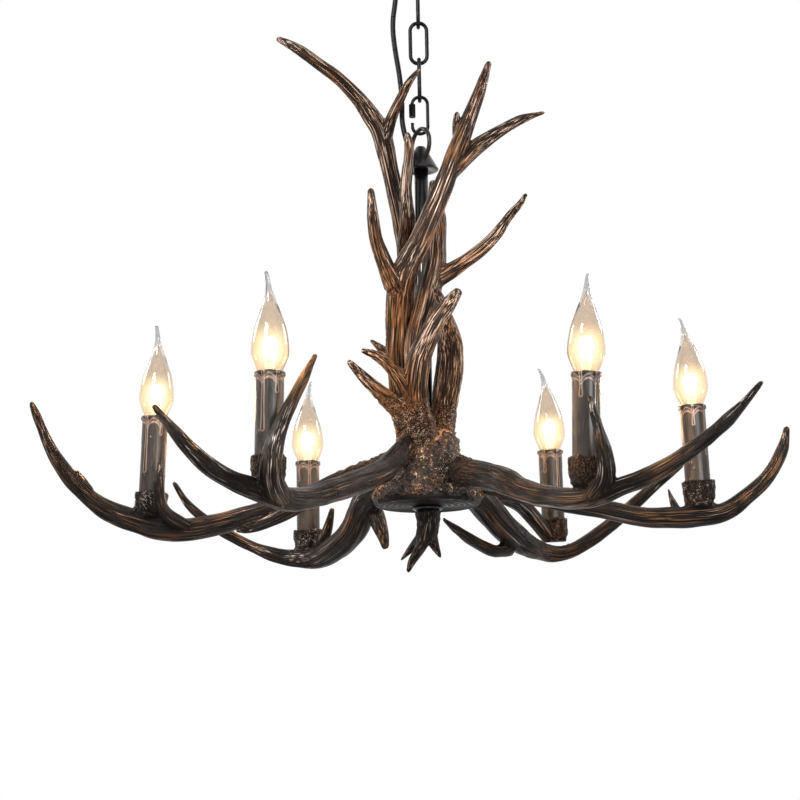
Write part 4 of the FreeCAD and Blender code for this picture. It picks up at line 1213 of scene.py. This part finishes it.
def filamentShape():
    span = np.linspace(0, 1, 160)
    half, small, coil = bulb["coilHalf"], bulb["coilRadius"], span * fullTurn * bulb["coilTurns"]
    arch = np.stack([half * (2 * span - 1), small * np.sin(coil),
                     33 + 5 * np.sin(span * math.pi) + small * np.cos(coil)], 1)
    return tube(arch + (0, 0, bulb["neck"]), 0.17, 6)


def addBulb(number, arm):
    rise = (0, 0, bulb["neck"])
    shape = bulbGlassShape(arm)
    wires = [tube(np.add(path, rise), 0.22, 8) for path in bulb["wires"]]
    wires.append(tube(np.add(bulb["middleWire"], rise), 0.16, 8))
    mount = turned(curved(np.add(bulb["mount"], rise[1:]), 4), 24, loop=False)
    glass, *_ = [
        newPiece(f"{name}{number}", onCandle(part, arm), finish, f"bulb_{number}", node)
        for name, part, finish, node, slot in (
            ("bulbGlass", shape, "bulbGlass", f"bulb_glass_{number}", "bulb_glass"),
            ("bulbBase", bulbBaseShape(), "capBrass", f"bulb_base_{number}", "bulb_metal"),
            ("bulbMount", mount, "stemGlass", None, "bulb_glass"),
            ("bulbWires", joined(*wires), "zincSteel", None, "bulb_metal"),
            ("bulbFilament", filamentShape(), "filament", None, "bulb_metal"))]
    height = shape[0][:, 2] - bulb["neck"]
    glow = np.exp(-((height - bulb["glowHeight"]) / bulb["glowReach"]) ** 2)
    storeValues(glass, "glow", np.clip(glow * 1.1, 0, 1))
    storeValues(glass, "tip", softStep(height, *bulb["tipFrom"]))
    place = candleMatrix(arm) @ Vector((0, 0, bulb["neck"] + bulb["warmHeight"]))
    lamp = newLight(f"warm{number}", "POINT", bulb["warmWatts"], bulb["warmColour"], place)
    lamp.data.shadow_soft_size = bulb["warmSize"] * mm


# ---- chain, quick link and ring
# the middle line of a link of round wire; its straight sides have rings of points for the weld
def loopPath(middle, length, width, wire, turn, steps=18):
    bend, straight = (width - wire) / 2, (length - width) / 2
    angle = math.radians(turn)
    out = np.array([math.cos(angle), math.sin(angle), 0])
    path = []
    for half, lift in ((0, straight), (180, -straight)):
        # in a round ring each half ends where the other starts
        for step in range(steps + (straight > 0)):
            a = math.radians(half + 180 * step / steps)
            path.append(np.array([0, 0, middle + lift + bend * math.sin(a)])
                        + out * bend * math.cos(a))
        if straight > 0:
            end = np.array([0, 0, middle - lift]) - out * bend * math.cos(math.radians(half))
            path += [path[-1] + (end - path[-1]) * k / 12 for k in range(1, 12)]
    return np.array(path)


chain = {"links": 4, "length": 48, "width": 21, "wire": 4, "weld": 0.28, "play": 0.02}


def addChain():
    for number in range(1, chain["links"] + 1):
        node = f"chain_link_{number}"
        foot, top, _ = extent(node)
        middle = (foot + top) / 2
        path = loopPath(middle, chain["length"], chain["width"], chain["wire"],
                        0 if number % 2 else 90)
        weld = np.exp(-((path[:, 2] - middle) / 1.3) ** 2) * (path[:, 0] + path[:, 1] > 0)
        radius = chain["wire"] / 2 - chain["play"] + chain["weld"] * weld * 0.5
        newPiece(f"chainLink{number}", tube(path, radius, closed=True), "chainBlack", node,
                 node)


quick = {
    "length": 43,
    "width": 19.3,
    "wire": 3.5,
    "play": 0.02,
    "gap": 6,
    "sleeve": 13.8,
    "sleeveRadius": 3.85,
    "sleevePlay": 0.12,
    "threadRings": 26,
    "threadStep": 0.12,
    "threadDepth": 0.28,
    "stubChamfer": 0.35,
}


def addQuickLink():
    foot, top, _ = extent("quick_link")
    middle = (foot + top) / 2
    bend = (quick["width"] - quick["wire"]) / 2
    straight = (quick["length"] - quick["width"]) / 2
    legEnd = straight - quick["sleeve"]
    stubEnd = legEnd - quick["gap"]
    # the threaded stub, the bottom bend, the long side, the top bend and the leg under the sleeve
    path, thin = [], []
    for k in range(quick["threadRings"]):
        path.append((-bend, 0, middle + stubEnd - k * quick["threadStep"]))
        thin.append(quick["threadDepth"] if k % 4 < 2 else quick["play"])
    thin[0] += quick["stubChamfer"]
    for half, lift in ((180, -straight), (0, straight)):
        for step in range(25):
            a = math.radians(half + 180 * step / 24)
            path.append((bend * math.cos(a), 0, middle + lift + bend * math.sin(a)))
        if half == 180:
            path += [(bend, 0, middle - straight + 2 * straight * k / 8) for k in range(1, 8)]
    path.append((-bend, 0, middle + legEnd + 0.1))
    thin += [quick["play"]] * (len(path) - len(thin))
    newPiece("quickLink", tube(path, quick["wire"] / 2 - np.array(thin)), "chainBlack",
             "quick_link", "quick_link")
    foot, top, _ = extent("quick_link_sleeve")
    bore, across = quick["wire"] / 2 + quick["sleevePlay"], quick["sleeveRadius"]
    points, faces = turned([(bore, foot), (across * 0.82, foot), (across, foot + 0.8),
                            (across, top - 0.8), (across * 0.82, top), (bore, top)], 48)
    around, reach = polar(points)
    corner = math.pi / 6
    flat = across * math.cos(corner) / np.cos((around + corner) % (2 * corner) - corner)
    spread(points, np.where(reach > bore + 0.2, np.minimum(flat - reach, 0), 0))
    points[:, 0] -= bend
    newPiece("quickLinkSleeve", (points, faces), "chainBlack", "quick_link_sleeve",
             "quick_link_sleeve", smooth=False)


ring = {"across": 38, "wire": 4.6, "turn": -58, "play": 0.03, "lipPlay": 0.45, "lipWire": 0.5}
cap = {"wall": 1.6, "tipRadius": 4.2, "bore": 7.05}


def addRingAndCap():
    foot, top, _ = extent("hanging_ring")
    middle = (foot + top) / 2
    path = loopPath(middle, ring["across"], ring["across"], ring["wire"], ring["turn"], 40)
    newPiece("hangingRing", tube(path, ring["wire"] / 2 - ring["play"], 24, closed=True),
             "ringSteel", "fixture", "hanging_ring")
    foot, top, wide = extent("column_cap")
    rim, tip, bore = foot + cap["wall"], cap["tipRadius"], cap["bore"]
    profile = [(bore, foot), (wide - 1.4, foot), (wide - 0.5, foot + 0.5), (wide - 0.05, rim),
               (wide - 0.6, rim + 0.8), (tip + 0.7, top - 1.0), (tip, top - 0.2), (2.6, top),
               (2.4, top - 1.6), (wide - 2.2, rim + 0.4), (bore, rim)]
    newPiece("columnCap", turned(profile, 72), "glossBlack", "fixture", "column_cap")
    # thin collars round the ring where it crosses the flank of the cone
    flank = tip + (wide - tip) * (top - path[:, 2]) / (top - foot)
    inside = (polar(path)[1] < flank) & (path[:, 2] < top)
    lips = []
    for here, there, isIn, willBeIn in zip(path, np.roll(path, -1, 0), inside, np.roll(inside, -1)):
        if isIn == willBeIn or abs(here[2] - middle) > ring["across"] / 2 - 1:
            continue
        along = (there - here) / np.linalg.norm(there - here)
        first = np.cross(along, [0, 0, 1])
        first /= np.linalg.norm(first)
        turn = circle(28)[:, None]
        loop = np.cos(turn) * first + np.sin(turn) * np.cross(along, first)
        loop = (here + there) / 2 + loop * (ring["wire"] / 2 + ring["lipPlay"])
        lips.append(tube(loop, ring["lipWire"], 8, closed=True))
    newPiece("capLips", joined(*lips), "glossBlack", "fixture")


def addCordBush():
    end, before = np.array(cord["route"][-1], float), np.array(cord["route"][-2], float)
    into = (end - before) / np.linalg.norm(end - before)
    radius, step = np.array([(4.25, 0.1), (4.25, 1.2), (3.7, 1.6), (4.25, 2.4), (4.1, 8),
                             (3.6, 11.8)]).T
    newPiece("cordBush", tube(end + into * step[:, None], radius, 28), "blackPlastic",
             "fixture", "cord_bush")


def addColumn():
    foot, top, radius = extent("column_tube")
    profile = [(5.5, foot), (radius - 0.3, foot), (radius, foot + 0.4), (radius, top - 0.4),
               (radius - 0.3, top), (5.5, top)]
    newPiece("column", turned(profile, 64), "glossBlack", "fixture", "column_tube")


# ---- ceiling fitting, above the photograph's edge
def addCanopy():
    foot, _, wide = extent("canopy_cup")
    base, bore = wide - 9, 5.35
    outer = curved([(base - 1.5, foot), (base + 1.6, foot + 1.2), (wide - 1.6, foot * 0.5),
                    (wide - 0.2, foot * 0.42), (wide - 0.2, -1.2)], 6)
    outer[:, 0] = np.minimum(outer[:, 0], wide - 0.1)
    profile = [(bore, foot + 0.02), *outer, (wide - 0.1, -0.9), (wide - 0.6, -0.1),
               (wide - 1.2, -0.3), (wide - 1.4, foot * 0.42), (base - 1.2, foot + 1.2),
               (bore, foot + 1.2)]
    newPiece("canopy", turned(profile, 112), "glossBlack", "ceiling_fitting", "canopy_cup")


eye = {"across": 21.5, "wire": 5, "play": 0.02, "stemRadius": 4.95, "threadDepth": 0.35}


def addCanopyLoop():
    foot, top, _ = extent("canopy_loop")
    middle, radius = foot + eye["across"] / 2, eye["stemRadius"]
    path = loopPath(middle, eye["across"], eye["across"], eye["wire"], 90, 30)
    start = middle + 8.4
    stem = [(0.5, start - 1), (3.4, start), (4.6, start + 1.5), (radius, start + 3),
            (radius, start + 6)]
    stem += [(radius - eye["threadDepth"] * (k % 4 > 1), height)
             for k, height in enumerate(np.linspace(start + 6.5, top - 0.6, 60))]
    stem += [(4.2, top - 0.2), (0.5, top)]
    shape = joined(tube(path, eye["wire"] / 2 - eye["play"], 24, closed=True),
                   turned(stem, 40, loop=False))
    newPiece("canopyLoop", shape, "chainBlack", "ceiling_fitting", "canopy_loop")


nut = {"bore": 5.1, "sides": 144, "knurls": 36, "knurlDepth": 0.22}


def addCanopyNut():
    foot, top, wide = extent("canopy_nut")
    points, faces = turned([(nut["bore"], top), (wide - 0.4, top), (wide, top - 0.4),
                            (wide, top - 1.8), (wide - 0.5, top - 2.2), (wide - 2, foot + 0.3),
                            (wide - 2.6, foot), (nut["bore"], foot)], nut["sides"])
    around, reach = polar(points)
    knurl = nut["knurlDepth"] * (0.5 + 0.5 * np.cos(around * nut["knurls"]))
    spread(points, -knurl * softStep(reach, wide - 1, wide - 0.3))
    newPiece("canopyNut", (points, faces), "glossBlack", "ceiling_fitting", "canopy_nut")


gland = {"ribs": 6, "ribDepth": 0.35, "ribsFrom": 5.7, "ribsTo": 3.6, "bore": 2.4, "sides": 40}


def addCordGland():
    foot, top, right = extent("cord_gland")
    middle = (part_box("cord_gland")[0].x / mm + right) / 2
    under = extent("canopy_cup")[0]
    start, finish = under - 4.2, foot + 0.6
    rows = [(3.0, top), (5.5, top), (5.6, under), (7.6, under), (7.6, under - 2.6),
            (6.6, under - 3.2)]
    for k in range(gland["ribs"] * 4 + 1):
        part = k / (gland["ribs"] * 4)
        radius = gland["ribsFrom"] + (gland["ribsTo"] - gland["ribsFrom"]) * part
        rows.append((radius - gland["ribDepth"] * (k % 4 > 1), start + (finish - start) * part))
    rows += [(3.0, foot + 0.05), (gland["bore"], foot + 0.05), (gland["bore"], top)]
    newPiece("cordGland", turned(rows, gland["sides"], at=(middle, 0)), "blackPlastic",
             "ceiling_fitting", "cord_gland")


# CAD pieces that keep their shape and only get a finish
kept = {"ceiling_bracket": "zincSteel", "stem_locknut": "zincSteel",
        "terminal_block": "heatPlastic", "arm_studs": "zincSteel"}


def paintKept():
    for node, finish in kept.items():
        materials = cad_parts[node].data.materials
        materials.clear()
        materials.append(finishes[finish])


addCamera()
addLamps()
addRoom()
makeMaterials()
addCord()
print("camera, room, cord and", len(finishes), "finishes ready")
for number, arm in enumerate(arms, start=1):
    for add in (addArm, addCandle, addLampholder, addBulb):
        add(number, arm)
print("six arms with candles and bulbs")
for number, antler in enumerate(crown, start=1):
    addCrownAntler(number, antler)
for add in (addHub, addDisc, addFinial):
    add()
print("upper antlers, hub, disc and finial")
for add in (addChain, addQuickLink, addRingAndCap, addCordBush, addColumn, addCanopy, addCanopyLoop,
            addCanopyNut, addCordGland, paintKept):
    add()
print("chain, column and ceiling fitting")

bpy.context.scene.view_settings.view_transform = "Standard"
